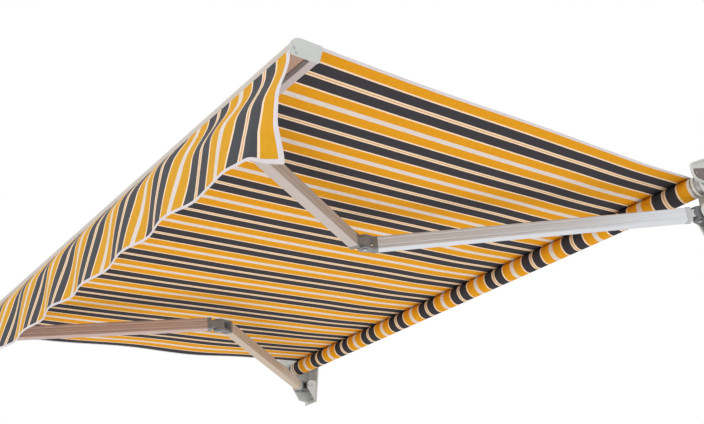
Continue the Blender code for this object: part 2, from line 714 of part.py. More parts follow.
def arm_spring(start):
    """Tension spring inside the fore arm: a coil along X, as a bevelled curve."""
    curve = bpy.data.curves.new("coil", "CURVE")
    curve.dimensions = "3D"
    curve.bevel_depth = SPRING_WIRE / 2
    curve.bevel_resolution = 0
    curve.use_fill_caps = True
    points_per_turn = 8
    count = SPRING_TURNS * points_per_turn + 1
    line = curve.splines.new("POLY")
    line.points.add(count - 1)
    for index, point in enumerate(line.points):
        turn = 2 * math.pi * index / points_per_turn
        along = start + SPRING_LENGTH * index / (count - 1)
        point.co = (along, SPRING_RADIUS * math.cos(turn), SPRING_RADIUS * math.sin(turn), 1)
    coil = bpy.data.objects.new("coil", curve)
    bpy.context.scene.collection.objects.link(coil)
    graph = bpy.context.evaluated_depsgraph_get()
    mesh = bpy.data.meshes.new_from_object(coil.evaluated_get(graph))
    bpy.data.objects.remove(coil)
    return mesh


def bar_shoe():
    """Foot under the front bar keyed into its lower slot, a post down from it and two ears round the pin."""
    front, behind = -SHOE_BLOCK_OUT, SHOE_FOOT_BEHIND
    top = BAR_UNDERSIDE - SEAT_GAP
    eye = swung(lug(SHOE_BLOCK_OUT - BLOCK_PROUD, -LUG_RADIUS, LUG_RADIUS, LUG_RADIUS), 3)
    body = eared_block(eye, front, -YOKE_BLOCK_START)
    half_block = LUG_RADIUS + BLOCK_PROUD
    post = rounded_rectangle(2 * half_block, SHOE_BLOCK_OUT - YOKE_BLOCK_START, 2 * BLOCK_PROUD, 2)
    post = shifted(prism(post, 0, top - BLOCK_PROUD, "Z"), y=(front - YOKE_BLOCK_START) / 2)
    foot = rounded_rectangle(SHOE_WIDTH, behind - front, 6 * BLOCK_PROUD)
    foot = shifted(prism(foot, top - SHOE_FOOT_THICKNESS, top, "Z"), y=(front + behind) / 2)
    stem = SHOE_SLOT_MOUTH / 2 - SHOE_KEY_GAP
    head = SHOE_SLOT_WIDTH / 2 - SHOE_KEY_GAP
    root = top - SHOE_FOOT_THICKNESS / 2
    lip = BAR_UNDERSIDE + SHOE_SLOT_LIP + SHOE_KEY_GAP
    tip = BAR_UNDERSIDE + SHOE_SLOT_DEPTH - SHOE_KEY_GAP
    right_half = [(stem, root), (stem, lip), (head, lip), (head, tip)]
    key = right_half + [(-y, z) for y, z in reversed(right_half)]
    half = SHOE_WIDTH / 2 - 4 * BLOCK_PROUD
    return united(body, post, foot, shifted(prism(key, -half, half, "X"), y=-BAR_AHEAD_OF_PINS))


REAR_PINS_APART = math.sqrt(REAR_ARM_LENGTH**2 - ELBOW_OFFSET**2)
FORE_PINS_APART = math.sqrt(FORE_ARM_LENGTH**2 - ELBOW_OFFSET**2)
REAR_TUBE_TURN = REAR_ARM_ANGLE - math.asin(ELBOW_OFFSET / REAR_ARM_LENGTH)
FORE_TUBE_TURN = FORE_ARM_ANGLE - math.asin(ELBOW_OFFSET / FORE_ARM_LENGTH)
PIN_LENGTH = 2 * (EAR_OUTER + BLOCK_PROUD)
CHEEKS_APART = 2 * (CHEEK_INNER + CHEEK_THICKNESS)
for word, side in SIDES:
    inward = math.pi if side > 0 else 0.0
    shoulder_place = (side * SHOULDER_HALF, -TILT_BACK, 0)
    tip_place = (side * TIP_HALF, -TILT_BACK - REACH, 0)
    bolt_place = (side * SHOULDER_HALF, -PITCH_BOLT_AHEAD, 0)
    add(f"shoulder_yoke_{word}", shoulder_yoke(), CAST_GREY, pitch, shoulder_place)
    add(f"shoulder_pin_{word}", headed_pin(ARM_PIN_RADIUS, PIN_LENGTH), STEEL, pitch, shoulder_place)
    tilt_pin = headed_pin(TILT_PIN_RADIUS, CHEEKS_APART, "X")
    add(f"tilt_pin_{word}", tilt_pin, STEEL, pitch, (side * SHOULDER_HALF, 0, 0))
    add(f"pitch_bolt_{word}", headed_pin(PITCH_BOLT_RADIUS, CHEEKS_APART, "X"), STEEL, pitch, bolt_place)

    # Rear arm, from the shoulder pin to the elbow pin, which lies off the tube's centre line
    rear_turn = inward + side * REAR_TUBE_TURN
    shoulder = joint_frame(f"shoulder_axis_{word}", shoulder_place, pitch, turn_z=rear_turn)
    elbow_place = (REAR_PINS_APART, side * ELBOW_OFFSET, 0)
    fork = turned_round(arm_casting(side * ELBOW_OFFSET, True), elbow_place)
    add(f"rear_arm_knuckle_{word}", arm_casting(0.0, False), CAST_GREY, shoulder)
    add(f"rear_arm_tube_{word}", arm_tube(REAR_PINS_APART), ALUMINIUM, shoulder)
    add(f"rear_elbow_fork_{word}", fork, CAST_GREY, shoulder)
    add(f"elbow_pin_{word}", headed_pin(ARM_PIN_RADIUS, PIN_LENGTH), STEEL, shoulder, elbow_place)

    # Fore arm, laid out from the front pin back to the elbow
    tip = joint_frame(f"tip_axis_{word}", tip_place, pitch, turn_z=inward - side * FORE_TUBE_TURN)
    elbow_place = (FORE_PINS_APART, -side * ELBOW_OFFSET, 0)
    tongue = turned_round(arm_casting(-side * ELBOW_OFFSET, False), elbow_place)
    spring_start = FORE_PINS_APART - SOCKET_END - SPIGOT_LENGTH - SPRING_LENGTH - SPRING_WIRE / 2 - SEAT_GAP
    add(f"fore_arm_tip_{word}", arm_casting(0.0, False), CAST_GREY, tip)
    add(f"fore_arm_tube_{word}", arm_tube(FORE_PINS_APART), ALUMINIUM, tip)
    add(f"fore_elbow_tongue_{word}", tongue, CAST_GREY, tip)
    add(f"arm_spring_{word}", arm_spring(spring_start), STEEL, tip)
    add(f"bar_shoe_{word}", bar_shoe(), PALE_COAT, pitch, tip_place)
    add(f"tip_pin_{word}", headed_pin(ARM_PIN_RADIUS, PIN_LENGTH), STEEL, pitch, tip_place)


# Front bar: hollow, with a cloth slot on top, another in its nose and a square slot below for the shoes

SLOT_DEPTH = SLOT_LIP + math.sqrt(SLOT_RADIUS**2 - SLOT_MOUTH**2 / 4)


def cloth_slot():
    """Round slot with a narrow mouth, as (along the face, depth) points from one lip to the other."""
    half = SLOT_MOUTH / 2
    start = math.degrees(math.atan2(SLOT_LIP - SLOT_DEPTH, -half)) % 360
    return [(-half, 0), *arc((0, SLOT_DEPTH), SLOT_RADIUS, start, 180 - start, 10), (half, 0)]


def shoe_slot():
    """Square undercut slot, as (along the face, depth) points."""
    a, b = SHOE_SLOT_MOUTH / 2, SHOE_SLOT_WIDTH / 2
    lip, floor = SHOE_SLOT_LIP, SHOE_SLOT_DEPTH
    return [(-a, 0), (-a, lip), (-b, lip), (-b, floor), (b, floor), (b, lip), (a, lip), (a, 0)]


def bar_outline(slots=True, grow=0.0):
    """The bar's section about its centre: a round nose to the front and a rear face that leans in below."""
    y, z = BAR_DEPTH / 2 + grow, BAR_HEIGHT / 2 + grow
    front, under, rear = BAR_FRONT_CORNER, BAR_UNDER_CORNER, BAR_REAR_CORNER
    above = [(y - CANOPY_SLOT_INSET - along, z - deep) for along, deep in cloth_slot()]
    ahead = [(deep - y, -VALANCE_SLOT_DROP - along) for along, deep in cloth_slot()]
    below = [(along, deep - z) for along, deep in shoe_slot()]
    return [
        *arc((y - BAR_REAR_LEAN - rear, rear - z), rear, -90, 0, 3),
        *arc((y - rear, z - rear), rear, 0, 90, 3),
        *(above if slots else []),
        *arc((front - y, z - front), front, 90, 180, 8),
        *(ahead if slots else []),
        *arc((under - y, under - z), under, 180, 270, 4),
        *(below if slots else []),
    ]


def chamber(inset=0.0):
    """The hollow inside the bar, between the slots and behind the nose."""
    rear = BAR_DEPTH / 2 - CANOPY_SLOT_INSET - SLOT_RADIUS - BAR_WALL - inset
    front = SLOT_DEPTH + SLOT_RADIUS + BAR_WALL + inset - BAR_DEPTH / 2
    low = SHOE_SLOT_DEPTH + BAR_WALL + inset - BAR_HEIGHT / 2
    centre = (BAR_FRONT_CORNER - BAR_DEPTH / 2, BAR_HEIGHT / 2 - BAR_FRONT_CORNER)
    radius = BAR_FRONT_CORNER - BAR_WALL - inset
    turn = math.degrees(math.acos((front - centre[0]) / radius))
    return [(rear, low), (rear, centre[1] + radius), *arc(centre, radius, 90, turn, 4), (front, low)]


bar_place = Vector((0, BAR_CENTRE_Y, BAR_ABOVE_ARMS))
add("front_bar", prism(bar_outline(), -CLOTH_HALF, CLOTH_HALF, "X", [chamber()]), PALE_COAT, pitch, bar_place)
for word, side in SIDES:
    face = side * (CLOTH_HALF + SEAT_GAP)
    outside = between(face, face + side * BAR_CAP_THICKNESS)
    inside = between(side * (CLOTH_HALF - BAR_CAP_SPIGOT), face + side * BAR_CAP_THICKNESS / 2)
    plate = prism(bar_outline(False, BAR_CAP_RIM), *outside, "X")
    plug = prism(chamber(SEAT_GAP), *inside, "X")
    add(f"front_bar_cap_{word}", united(plate, plug), PALE_COAT, pitch, bar_place)

canopy_slot = Vector((0, BAR_DEPTH / 2 - CANOPY_SLOT_INSET, BAR_HEIGHT / 2))
valance_slot = Vector((0, -BAR_DEPTH / 2, -VALANCE_SLOT_DROP))
canopy_rod_place = bar_place + canopy_slot - Vector((0, 0, SLOT_DEPTH))
valance_rod_place = bar_place + valance_slot + Vector((0, SLOT_DEPTH, 0))
for name, place in (("canopy_rod", canopy_rod_place), ("valance_rod", valance_rod_place)):
    add(name, rod(HEM_ROD_RADIUS, -CLOTH_HALF, CLOTH_HALF, "X", 12), DARK_PLASTIC, pitch, place)


# Cloth

HEM_RADIUS = HEM_ROD_RADIUS + SEAT_GAP + CLOTH_THICKNESS / 2
LIFT = CLOTH_THICKNESS / 2 + SEAT_GAP


def cloth_sheet(place, columns, rows):
    """A closed thin sheet: place gives a point of its middle surface from a column's and a row's number."""
    shape = bmesh.new()
    layers = []
    for sign in (-0.5, 0.5):
        grid = []
        for i in range(columns + 1):
            line = []
            for j in range(rows + 1):
                along = place(min(i + 1, columns), j) - place(max(i - 1, 0), j)
                down = place(i, min(j + 1, rows)) - place(i, max(j - 1, 0))
                offset = along.cross(down).normalized() * CLOTH_THICKNESS * sign
                line.append(shape.verts.new(place(i, j) + offset))
            grid.append(line)
        layers.append(grid)
    for grid in layers:
        for i in range(columns):
            for j in range(rows):
                shape.faces.new((grid[i][j], grid[i + 1][j], grid[i + 1][j + 1], grid[i][j + 1]))
    low, high = layers
    rim = [(i, 0) for i in range(columns)] + [(columns, j) for j in range(rows)]
    rim += [(i, rows) for i in range(columns, 0, -1)] + [(0, j) for j in range(rows, 0, -1)]
    for (i, j), (k, m) in zip(rim, rim[1:] + rim[:1]):
        shape.faces.new((low[i][j], low[k][m], high[k][m], high[i][j]))
    return mesh_of(shape)


# The canopy leaves the roll near its top, sags, lies on the bar's rear edge and is hemmed round its rod
into_pitch = Matrix.Rotation(-ARM_SLOPE, 3, "X")
bar_edge = bar_place + Vector((0, BAR_DEPTH / 2 - BAR_REAR_CORNER, BAR_HEIGHT / 2 + LIFT))
roll_centre = into_pitch @ Vector((0, -ROLLER_OUT - TILT_Y, ROLLER_UP - TILT_Z))
run = roll_centre - bar_edge
grip = ROLL_RADIUS + LIFT
leaving = math.atan2(run.z, run.y) + math.asin(grip / run.length) + 4 * CANOPY_SAG / run.y
roll_top = roll_centre + Vector((0, -math.sin(leaving), math.cos(leaving))) * grip
FREE_ROWS = 14
canopy_line = []
for step in range(FREE_ROWS + 1):
    v = step / FREE_ROWS
    canopy_line.append(roll_top.lerp(bar_edge, v) - Vector((0, 0, 4 * CANOPY_SAG * v * (1 - v))))
canopy_line.append(bar_place + canopy_slot + Vector((0, 0, LIFT)))
for y, z in arc((canopy_rod_place.y, canopy_rod_place.z), HEM_RADIUS, 90, 400, 9):
    canopy_line.append(Vector((0, y, z)))
CANOPY_COLUMNS = 8


def canopy_point(i, j):
    """Column i runs along the roller, row j from the roll to the bar."""
    return canopy_line[j] + Vector((CLOTH_WIDTH * (i / CANOPY_COLUMNS - 0.5), 0, 0))


add("canopy", cloth_sheet(canopy_point, CANOPY_COLUMNS, len(canopy_line) - 1), CLOTH, pitch)

# The valance is hemmed round its own rod, swells forward and hangs in ripples that grow downwards
COLUMNS_PER_RIPPLE = 6
VALANCE_COLUMNS = VALANCE_RIPPLES * COLUMNS_PER_RIPPLE
DROP_ROWS = 8
valance_loop = arc((valance_rod_place.y, valance_rod_place.z), HEM_RADIUS, -130, 180, 9)
valance_hem = [Vector((0, y, z)) for y, z in valance_loop]
valance_mouth = bar_place + valance_slot - Vector((0, LIFT, 0))


def valance_point(i, j):
    """Column i runs along the bar. The first rows are the hem, the others go down the hanging part."""
    along = CLOTH_WIDTH * (i / VALANCE_COLUMNS - 0.5)
    if j < len(valance_hem):
        return valance_hem[j] + Vector((along, 0, 0))
    v = (j - len(valance_hem)) / DROP_ROWS
    wave = math.sin(2 * math.pi * i / COLUMNS_PER_RIPPLE)
    swell = min(2 * v, 1) ** 2 * (3 - 2 * min(2 * v, 1))
    forward = VALANCE_BULGE * swell + VALANCE_RIPPLE * wave * v
    return valance_mouth + into_pitch @ Vector((along, -forward, -v * VALANCE_HEIGHT))


add("valance", cloth_sheet(valance_point, VALANCE_COLUMNS, len(valance_hem) + DROP_ROWS), CLOTH, pitch)
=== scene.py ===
import json
import math

import bmesh
import bpy
from mathutils import Matrix, Vector


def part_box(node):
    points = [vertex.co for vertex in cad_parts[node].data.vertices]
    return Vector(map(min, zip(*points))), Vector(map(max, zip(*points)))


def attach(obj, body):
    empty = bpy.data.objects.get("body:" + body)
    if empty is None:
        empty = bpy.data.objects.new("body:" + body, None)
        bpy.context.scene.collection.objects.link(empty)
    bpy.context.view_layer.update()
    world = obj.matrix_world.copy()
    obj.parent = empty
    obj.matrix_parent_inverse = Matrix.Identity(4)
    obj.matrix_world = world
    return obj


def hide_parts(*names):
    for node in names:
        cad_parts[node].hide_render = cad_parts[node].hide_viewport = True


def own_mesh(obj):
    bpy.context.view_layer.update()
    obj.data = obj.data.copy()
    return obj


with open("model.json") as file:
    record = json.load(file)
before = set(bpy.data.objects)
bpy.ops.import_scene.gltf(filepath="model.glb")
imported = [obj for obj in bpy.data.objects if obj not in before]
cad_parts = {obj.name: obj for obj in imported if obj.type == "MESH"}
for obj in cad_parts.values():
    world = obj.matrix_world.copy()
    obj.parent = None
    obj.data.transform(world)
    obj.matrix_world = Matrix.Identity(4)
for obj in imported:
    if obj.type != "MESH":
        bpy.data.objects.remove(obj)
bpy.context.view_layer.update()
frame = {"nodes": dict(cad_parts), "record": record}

node = frame["nodes"]
joint_at = {joint["name"]: Vector(joint["pos_m"]) for joint in frame["record"]["behaviour"]["joints"]}


# Wall brackets: pressed and welded steel plates with two cheeks each, powder coated pale grey and held
# to the wall by three hexagon bolts on washers.


def linear(hex_colour):
    """An sRGB hex colour as the linear figures that a shader takes."""
    shares = [int(hex_colour[i : i + 2], 16) / 255 for i in (1, 3, 5)]
    return tuple(c / 12.92 if c <= 0.04045 else ((c + 0.055) / 1.055) ** 2.4 for c in shares) + (1.0,)


def add_node(material, kind, settings=None, links=None):
    """Adds one node to a material: settings are its properties and socket values, links feed its sockets."""
    made = material.node_tree.nodes.new(kind)
    for key, value in (settings or {}).items():
        if isinstance(key, str) and hasattr(made, key):
            setattr(made, key, value)
        else:
            made.inputs[key].default_value = value
    for key, source in (links or {}).items():
        material.node_tree.links.new(source, made.inputs[key])
    return made


def finish(name, colour, roughness, metallic=0.0):
    """A material named for what it is, with its shader ready for colour and bump."""
    material = bpy.data.materials.new(name)
    material.use_nodes = True
    shader = material.node_tree.nodes["Principled BSDF"]
    shader.inputs["Base Color"].default_value = linear(colour)
    shader.inputs["Roughness"].default_value = roughness
    shader.inputs["Metallic"].default_value = metallic
    return material, shader


def mottle(material, shader, light, dark, patch, grain, height, roughness=None):
    """Colour that drifts between two tones over patches and a fine grain in relief, both sized in metres."""
    place = add_node(material, "ShaderNodeTexCoord").outputs["Object"]
    drift = add_node(material, "ShaderNodeTexNoise", {"Scale": 1 / patch, "Detail": 4.0}, {"Vector": place})
    tone = add_node(
        material,
        "ShaderNodeMix",
        {"data_type": "RGBA", 6: linear(dark), 7: linear(light)},
        {0: drift.outputs["Fac"]},
    )
    skin = add_node(material, "ShaderNodeTexNoise", {"Scale": 1 / grain, "Detail": 3.0}, {"Vector": place})
    relief = add_node(
        material,
        "ShaderNodeBump",
        {"Strength": 0.35, "Distance": height},
        {"Height": skin.outputs["Fac"]},
    )
    material.node_tree.links.new(tone.outputs[2], shader.inputs["Base Color"])
    material.node_tree.links.new(relief.outputs["Normal"], shader.inputs["Normal"])
    if roughness:
        gloss = add_node(
            material,
            "ShaderNodeMapRange",
            {"To Min": roughness[0], "To Max": roughness[1]},
            {"Value": drift.outputs["Fac"]},
        )
        material.node_tree.links.new(gloss.outputs[0], shader.inputs["Roughness"])
    return material


# Powder coat is sprayed and baked: satin, with a faint orange peel. The real peel is about 1 mm across and is
# drawn 4 mm wide, so that it shows.
coat, shader = finish("powder_coated_steel", "#CFD1CF", 0.42)
coat_on_steel = mottle(coat, shader, "#D6D8D6", "#C4C6C4", 0.16, 0.004, 0.0006, (0.36, 0.5))


def dress(material, *names):
    """Gives nodes of the frame a material in place of their plain one."""
    for name in names:
        node[name].data.materials.clear()
        node[name].data.materials.append(material)


for side in ("left", "right"):
    dress(coat_on_steel, f"wall_bracket_{side}", f"roller_end_plate_{side}")


def start_edit(piece):
    """Makes one piece active and opens it for editing in face mode."""
    bpy.ops.object.select_all(action="DESELECT")
    piece.select_set(True)
    bpy.context.view_layer.objects.active = piece
    bpy.ops.object.mode_set(mode="EDIT")
    bpy.ops.mesh.select_mode(type="FACE")


def pick(piece, test):
    """Selects the faces that pass a test, with the piece open for editing."""
    shape = bmesh.from_edit_mesh(piece.data)
    for face in shape.faces:
        face.select_set(test(face))
    shape.select_flush_mode()
    bmesh.update_edit_mesh(piece.data)


def close_edit(piece, bevel=0.0, steps=2, angle=35):
    """Ends any editing, rounds the edges and bakes the piece's place into its mesh."""
    bpy.ops.object.mode_set(mode="OBJECT")
    if bevel:
        rounding = piece.modifiers.new("edge_round", "BEVEL")
        rounding.width = bevel
        rounding.segments = steps
        rounding.limit_method = "ANGLE"
        bpy.ops.object.modifier_apply(modifier=rounding.name)
    bpy.ops.object.transform_apply(location=True, rotation=True, scale=True)
    bpy.ops.object.shade_smooth_by_angle(angle=math.radians(angle))
    return piece


def copies(piece, name, places, turn=None):
    """Puts copies of a piece modelled at the origin at each place, each with its own mesh."""
    made = []
    for number, place in enumerate(places, 1):
        mesh = piece.data.copy()
        if turn:
            mesh.transform(turn)
        mesh.transform(Matrix.Translation(place))
        one = bpy.data.objects.new(f"{name}_{number}", mesh)
        bpy.context.scene.collection.objects.link(one)
        made.append(one)
    bpy.data.objects.remove(piece)
    return made


# Zinc plate on steel is bright, slightly blue and a little cloudy.
zinc, shader = finish("zinc_plated_steel", "#B9BCC0", 0.32, 1.0)
zinc_plate = mottle(zinc, shader, "#C8CACD", "#A2A5A9", 0.012, 0.003, 0.0002, (0.24, 0.42))

SEAT = 0.0003  # gap between pieces that touch
BOLT_RADIUS, BOLT_HEAD = 0.0098, 0.0066
WASHER_RADIUS, WASHER_THICKNESS = 0.0125, 0.002
head_middle = SEAT + WASHER_THICKNESS + BOLT_HEAD / 2
bpy.ops.object.select_all(action="DESELECT")
bpy.ops.mesh.primitive_cylinder_add(vertices=6, radius=BOLT_RADIUS, depth=BOLT_HEAD, location=(0, 0, head_middle))
anchor = bpy.context.object
start_edit(anchor)
pick(anchor, lambda face: face.normal.z > 0.9)
BOLT_CHAMFER, CHAMFER_RISE, BOLT_DISH, DISH_DEPTH = 0.0016, 0.0007, 0.0035, 0.0005
bpy.ops.mesh.inset(thickness=BOLT_CHAMFER)
bpy.ops.transform.translate(value=(0, 0, CHAMFER_RISE))
bpy.ops.mesh.inset(thickness=BOLT_DISH)
bpy.ops.transform.translate(value=(0, 0, -DISH_DEPTH))
# A piece added while another is open is placed from that piece's middle.
washer_place = (0, 0, SEAT + WASHER_THICKNESS / 2 - head_middle)
bpy.ops.mesh.primitive_cylinder_add(vertices=32, radius=WASHER_RADIUS, depth=WASHER_THICKNESS, location=washer_place)
close_edit(anchor, 0.0004)
bracket_low, bracket_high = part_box("wall_bracket_left")
mirror_x = bracket_low.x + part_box("wall_bracket_right")[1].x
BRACKET_PLATE = 0.008
LEFT_BOLTS = [(-0.035, 0.130), (0.035, 0.130), (0.015, -0.130)]
bolt_y = bracket_high.y - BRACKET_PLATE - SEAT
bolt_places = [Vector((x, bolt_y, z)) for x, z in LEFT_BOLTS]
bolt_places += [Vector((mirror_x - x, bolt_y, z)) for x, z in LEFT_BOLTS]
for bolt in copies(anchor, "anchor_bolt", bolt_places, Matrix.Rotation(math.pi / 2, 4, "X")):
    bolt.data.materials.append(zinc_plate)
    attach(bolt, "frame")


# Roller: a galvanised steel tube with a keyed plastic plug at its left end. The tube motor sits inside its right
# end, held by its head in the end plate, and drives it through a notched wheel.

galvanised, shader = finish("galvanised_steel", "#B9BABB", 0.45, 0.8)
galvanised_tube = mottle(galvanised, shader, "#C6C7C8", "#A3A5A7", 0.03, 0.01, 0.0003, (0.36, 0.55))

# Glass-filled nylon comes out of the mould black and slightly grained.
nylon, shader = finish("moulded_nylon", "#2A2B2D", 0.5)
moulded_nylon = mottle(nylon, shader, "#303234", "#232426", 0.05, 0.003, 0.0004, (0.44, 0.6))

dress(galvanised_tube, "roller_tube", "idler_stub", "tube_motor")
dress(moulded_nylon, "idler_plug", "limit_crown", "drive_wheel", "motor_head", "canopy_rod", "valance_rod")

# A pale collar at each end of the cloth keeps its edge from creeping along the tube.
collar_plastic, shader = finish("ivory_moulded_plastic", "#DCD6CC", 0.45)
ivory_plastic = mottle(collar_plastic, shader, "#E2DCD3", "#CEC8BE", 0.02, 0.003, 0.0003, (0.4, 0.55))
COLLAR_RADIUS, COLLAR_WALL, COLLAR_WIDTH, COLLAR_PAST_CLOTH = 0.0421, 0.005, 0.012, 0.014
cloth_low, cloth_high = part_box("canopy")
ROLL_CENTRE = joint_at["roller_turn"]
for side, x in (("left", cloth_low.x - COLLAR_PAST_CLOTH), ("right", cloth_high.x + COLLAR_PAST_CLOTH)):
    bpy.ops.object.select_all(action="DESELECT")
    bpy.ops.mesh.primitive_cylinder_add(
        vertices=48,
        radius=COLLAR_RADIUS,
        depth=COLLAR_WIDTH,
        end_fill_type="NOTHING",
        location=(x, ROLL_CENTRE.y, ROLL_CENTRE.z),
        rotation=(0, math.pi / 2, 0),
    )
    collar = bpy.context.object
    collar.name = f"tube_collar_{side}"
    wall = collar.modifiers.new("wall", "SOLIDIFY")
    wall.thickness = COLLAR_WALL
    wall.offset = 0.0
    bpy.ops.object.modifier_apply(modifier=wall.name)
    close_edit(collar, 0.0016, 3)
    collar.data.materials.append(ivory_plastic)
    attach(collar, "roller")


# Striped cloth: woven acrylic canvas, dyed in the yarn, so both faces show the same stripes. The roll keeps its
# last turns, and the loose end is clamped in the tube.

CLOTH_WIDTH = 2.875
CLOTH_MIDDLE = (cloth_low.x + cloth_high.x) / 2
STRIPE_PITCH = 0.25
STRIPE_START = 20.25  # repeats counted to the cloth's middle, so that its right edge lies within a beige stripe
STRIPE_WAVER = 0.0016
YELLOW, CREAM, BEIGE, CHARCOAL, TAN = "#DF9A1E", "#F7DCBD", "#DDD3CC", "#3D3B40", "#CFA67E"


def striped_canvas(name, yellow, charcoal, sheen):
    """Canvas with stripes across the cloth's first map figure, in metres from its middle, and a plain weave."""
    material, shader = finish(name, yellow, 0.82)
    shader.inputs["Sheen Weight"].default_value = sheen
    shader.inputs["Sheen Roughness"].default_value = 0.5
    shader.inputs["Specular IOR Level"].default_value = 0.06
    flat = add_node(material, "ShaderNodeUVMap", {"uv_map": "flat"}).outputs["UV"]
    across = add_node(material, "ShaderNodeSeparateXYZ", links={0: flat})
    waver = add_node(material, "ShaderNodeTexNoise", {"Scale": 9.0, "Detail": 2.0}, {"Vector": flat})
    shift = add_node(
        material,
        "ShaderNodeMath",
        {"operation": "MULTIPLY_ADD", 1: STRIPE_WAVER, 2: -STRIPE_WAVER / 2},
        {0: waver.outputs["Fac"]},
    )
    drawn = add_node(material, "ShaderNodeMath", {"operation": "ADD"}, {0: across.outputs["X"], 1: shift.outputs[0]})
    phase = add_node(
        material,
        "ShaderNodeMath",
        {"operation": "MULTIPLY_ADD", 1: 1 / STRIPE_PITCH, 2: STRIPE_START},
        {0: drawn.outputs[0]},
    )
    share = add_node(material, "ShaderNodeMath", {"operation": "FRACT"}, {0: phase.outputs[0]})
    ramp = add_node(material, "ShaderNodeValToRGB", links={0: share.outputs[0]})
    ramp.color_ramp.interpolation = "CONSTANT"
    # One repeat, as shares of the pitch, runs out from the middle of a beige stripe and back to the next one
    half = [(0.049, BEIGE), (0.184, yellow), (0.030, CREAM), (0.197, charcoal), (0.026, CREAM)]
    stripes = [*half, (0.028, TAN), *reversed(half)]
    while len(ramp.color_ramp.elements) < len(stripes):
        ramp.color_ramp.elements.new(1.0)
    edge = 0.0
    for stop, (width, colour) in zip(ramp.color_ramp.elements, stripes):
        stop.position = edge
        stop.color = linear(colour)
        edge += width
    # Threads run 0.5 mm apart and are drawn 3 mm apart, so that they show.
    threads = []
    for axis in ("X", "Y"):
        line = add_node(
            material,
            "ShaderNodeTexWave",
            {"wave_type": "BANDS", "bands_direction": axis, "Scale": 105.0, "Distortion": 0.6, "Detail": 1.0},
            {"Vector": flat},
        )
        threads.append(line.outputs["Fac"])
    weave = add_node(material, "ShaderNodeMath", {"operation": "MAXIMUM"}, {0: threads[0], 1: threads[1]})
    slub = add_node(material, "ShaderNodeTexNoise", {"Scale": 60.0, "Detail": 5.0}, {"Vector": flat})
    shade = add_node(
        material,
        "ShaderNodeMapRange",
        {"From Min": 0.25, "From Max": 0.75, "To Min": 0.93, "To Max": 1.05},
        {"Value": slub.outputs["Fac"]},
    )
    toned = add_node(
        material,
        "ShaderNodeMix",
        {"data_type": "RGBA", "blend_type": "MULTIPLY", 0: 1.0},
        {6: ramp.outputs["Color"], 7: shade.outputs[0]},
    )
    relief = add_node(
        material,
        "ShaderNodeBump",
        {"Strength": 0.25, "Distance": 0.0005},
        {"Height": weave.outputs[0]},
    )
    material.node_tree.links.new(toned.outputs[2], shader.inputs["Base Color"])
    material.node_tree.links.new(relief.outputs["Normal"], shader.inputs["Normal"])
    return material


canvas = striped_canvas("woven_acrylic_canvas", YELLOW, CHARCOAL, 0.0)


def cloth_piece(name, columns, rows, place, flat, thickness, material):
    """One sheet as a grid of points, with its flat place as a map, thickened evenly about its middle."""
    shape = bmesh.new()
    grid = [[shape.verts.new(place(i, j)) for j in range(rows + 1)] for i in range(columns + 1)]
    layer = shape.loops.layers.uv.new("flat")
    for i in range(columns):
        for j in range(rows):
            corners = [(i, j), (i + 1, j), (i + 1, j + 1), (i, j + 1)]
            face = shape.faces.new([grid[a][b] for a, b in corners])
            for loop, corner in zip(face.loops, corners):
                loop[layer].uv = flat(*corner)
    mesh = bpy.data.meshes.new(name)
    shape.to_mesh(mesh)
    shape.free()
    piece = bpy.data.objects.new(name, mesh)
    bpy.context.scene.collection.objects.link(piece)
    piece.data.materials.append(material)
    bpy.ops.object.select_all(action="DESELECT")
    piece.select_set(True)
    bpy.context.view_layer.objects.active = piece
    body = piece.modifiers.new("cloth_thickness", "SOLIDIFY")
    body.thickness = thickness
    body.offset = 0.0
    bpy.ops.object.modifier_apply(modifier=body.name)
    mesh.shade_smooth()
    mesh.set_sharp_from_angle(angle=math.radians(60))
    return piece


# The front bar's place gives the slope at which the canopy leaves the roll.
ARM_SLOPE = math.radians(9.9)
BAR_AHEAD_OF_PIN, BAR_OVER_PIN = 0.004, 0.089
BAR_REAR, BAR_NOSE, BAR_TOP = 0.053, -0.059, 0.031
across_arms = Vector((0, -math.sin(ARM_SLOPE), math.cos(ARM_SLOPE)))
along_arms = Vector((0, math.cos(ARM_SLOPE), math.sin(ARM_SLOPE)))
tip_right = joint_at["tip_right"]
bar_centre = Vector((CLOTH_MIDDLE, tip_right.y, tip_right.z))
bar_centre += across_arms * BAR_OVER_PIN - along_arms * BAR_AHEAD_OF_PIN


def on_bar(back, up):
    """A point of the front bar's section, from its centre: towards the wall and up, in the bar's own tilt."""
    return bar_centre + along_arms * back + across_arms * up


CLOTH_THICKNESS = 0.0010
CLOTH_LIFT = 0.0009  # from what the cloth lies on to its middle
ROLL_RADIUS = 0.045
SAG = 0.008
bar_rear_edge = on_bar(BAR_REAR, BAR_TOP + CLOTH_LIFT)
run = ROLL_CENTRE - bar_rear_edge
leaving = math.atan2(run.z, run.y) + 4 * SAG / run.y
leaving += math.asin((ROLL_RADIUS + CLOTH_LIFT) / math.hypot(run.y, run.z))

# The winding is one long spiral of canvas round the tube, whose layers show at both ends.
TURNS, LAYER_STEP = 4.2, 0.00124
SPIRAL_STEPS, WINDING_COLUMNS = 220, 12


def spiral(i, j):
    """Column i runs along the roller, step j winds inwards from where the canopy leaves."""
    share = j / SPIRAL_STEPS
    radius = ROLL_RADIUS - SEAT - TURNS * LAYER_STEP * share
    turn = leaving + math.pi / 2 - 2 * math.pi * TURNS * share
    x = CLOTH_WIDTH * (i / WINDING_COLUMNS - 0.5)
    return Vector((CLOTH_MIDDLE + x, ROLL_CENTRE.y + radius * math.cos(turn), ROLL_CENTRE.z + radius * math.sin(turn)))


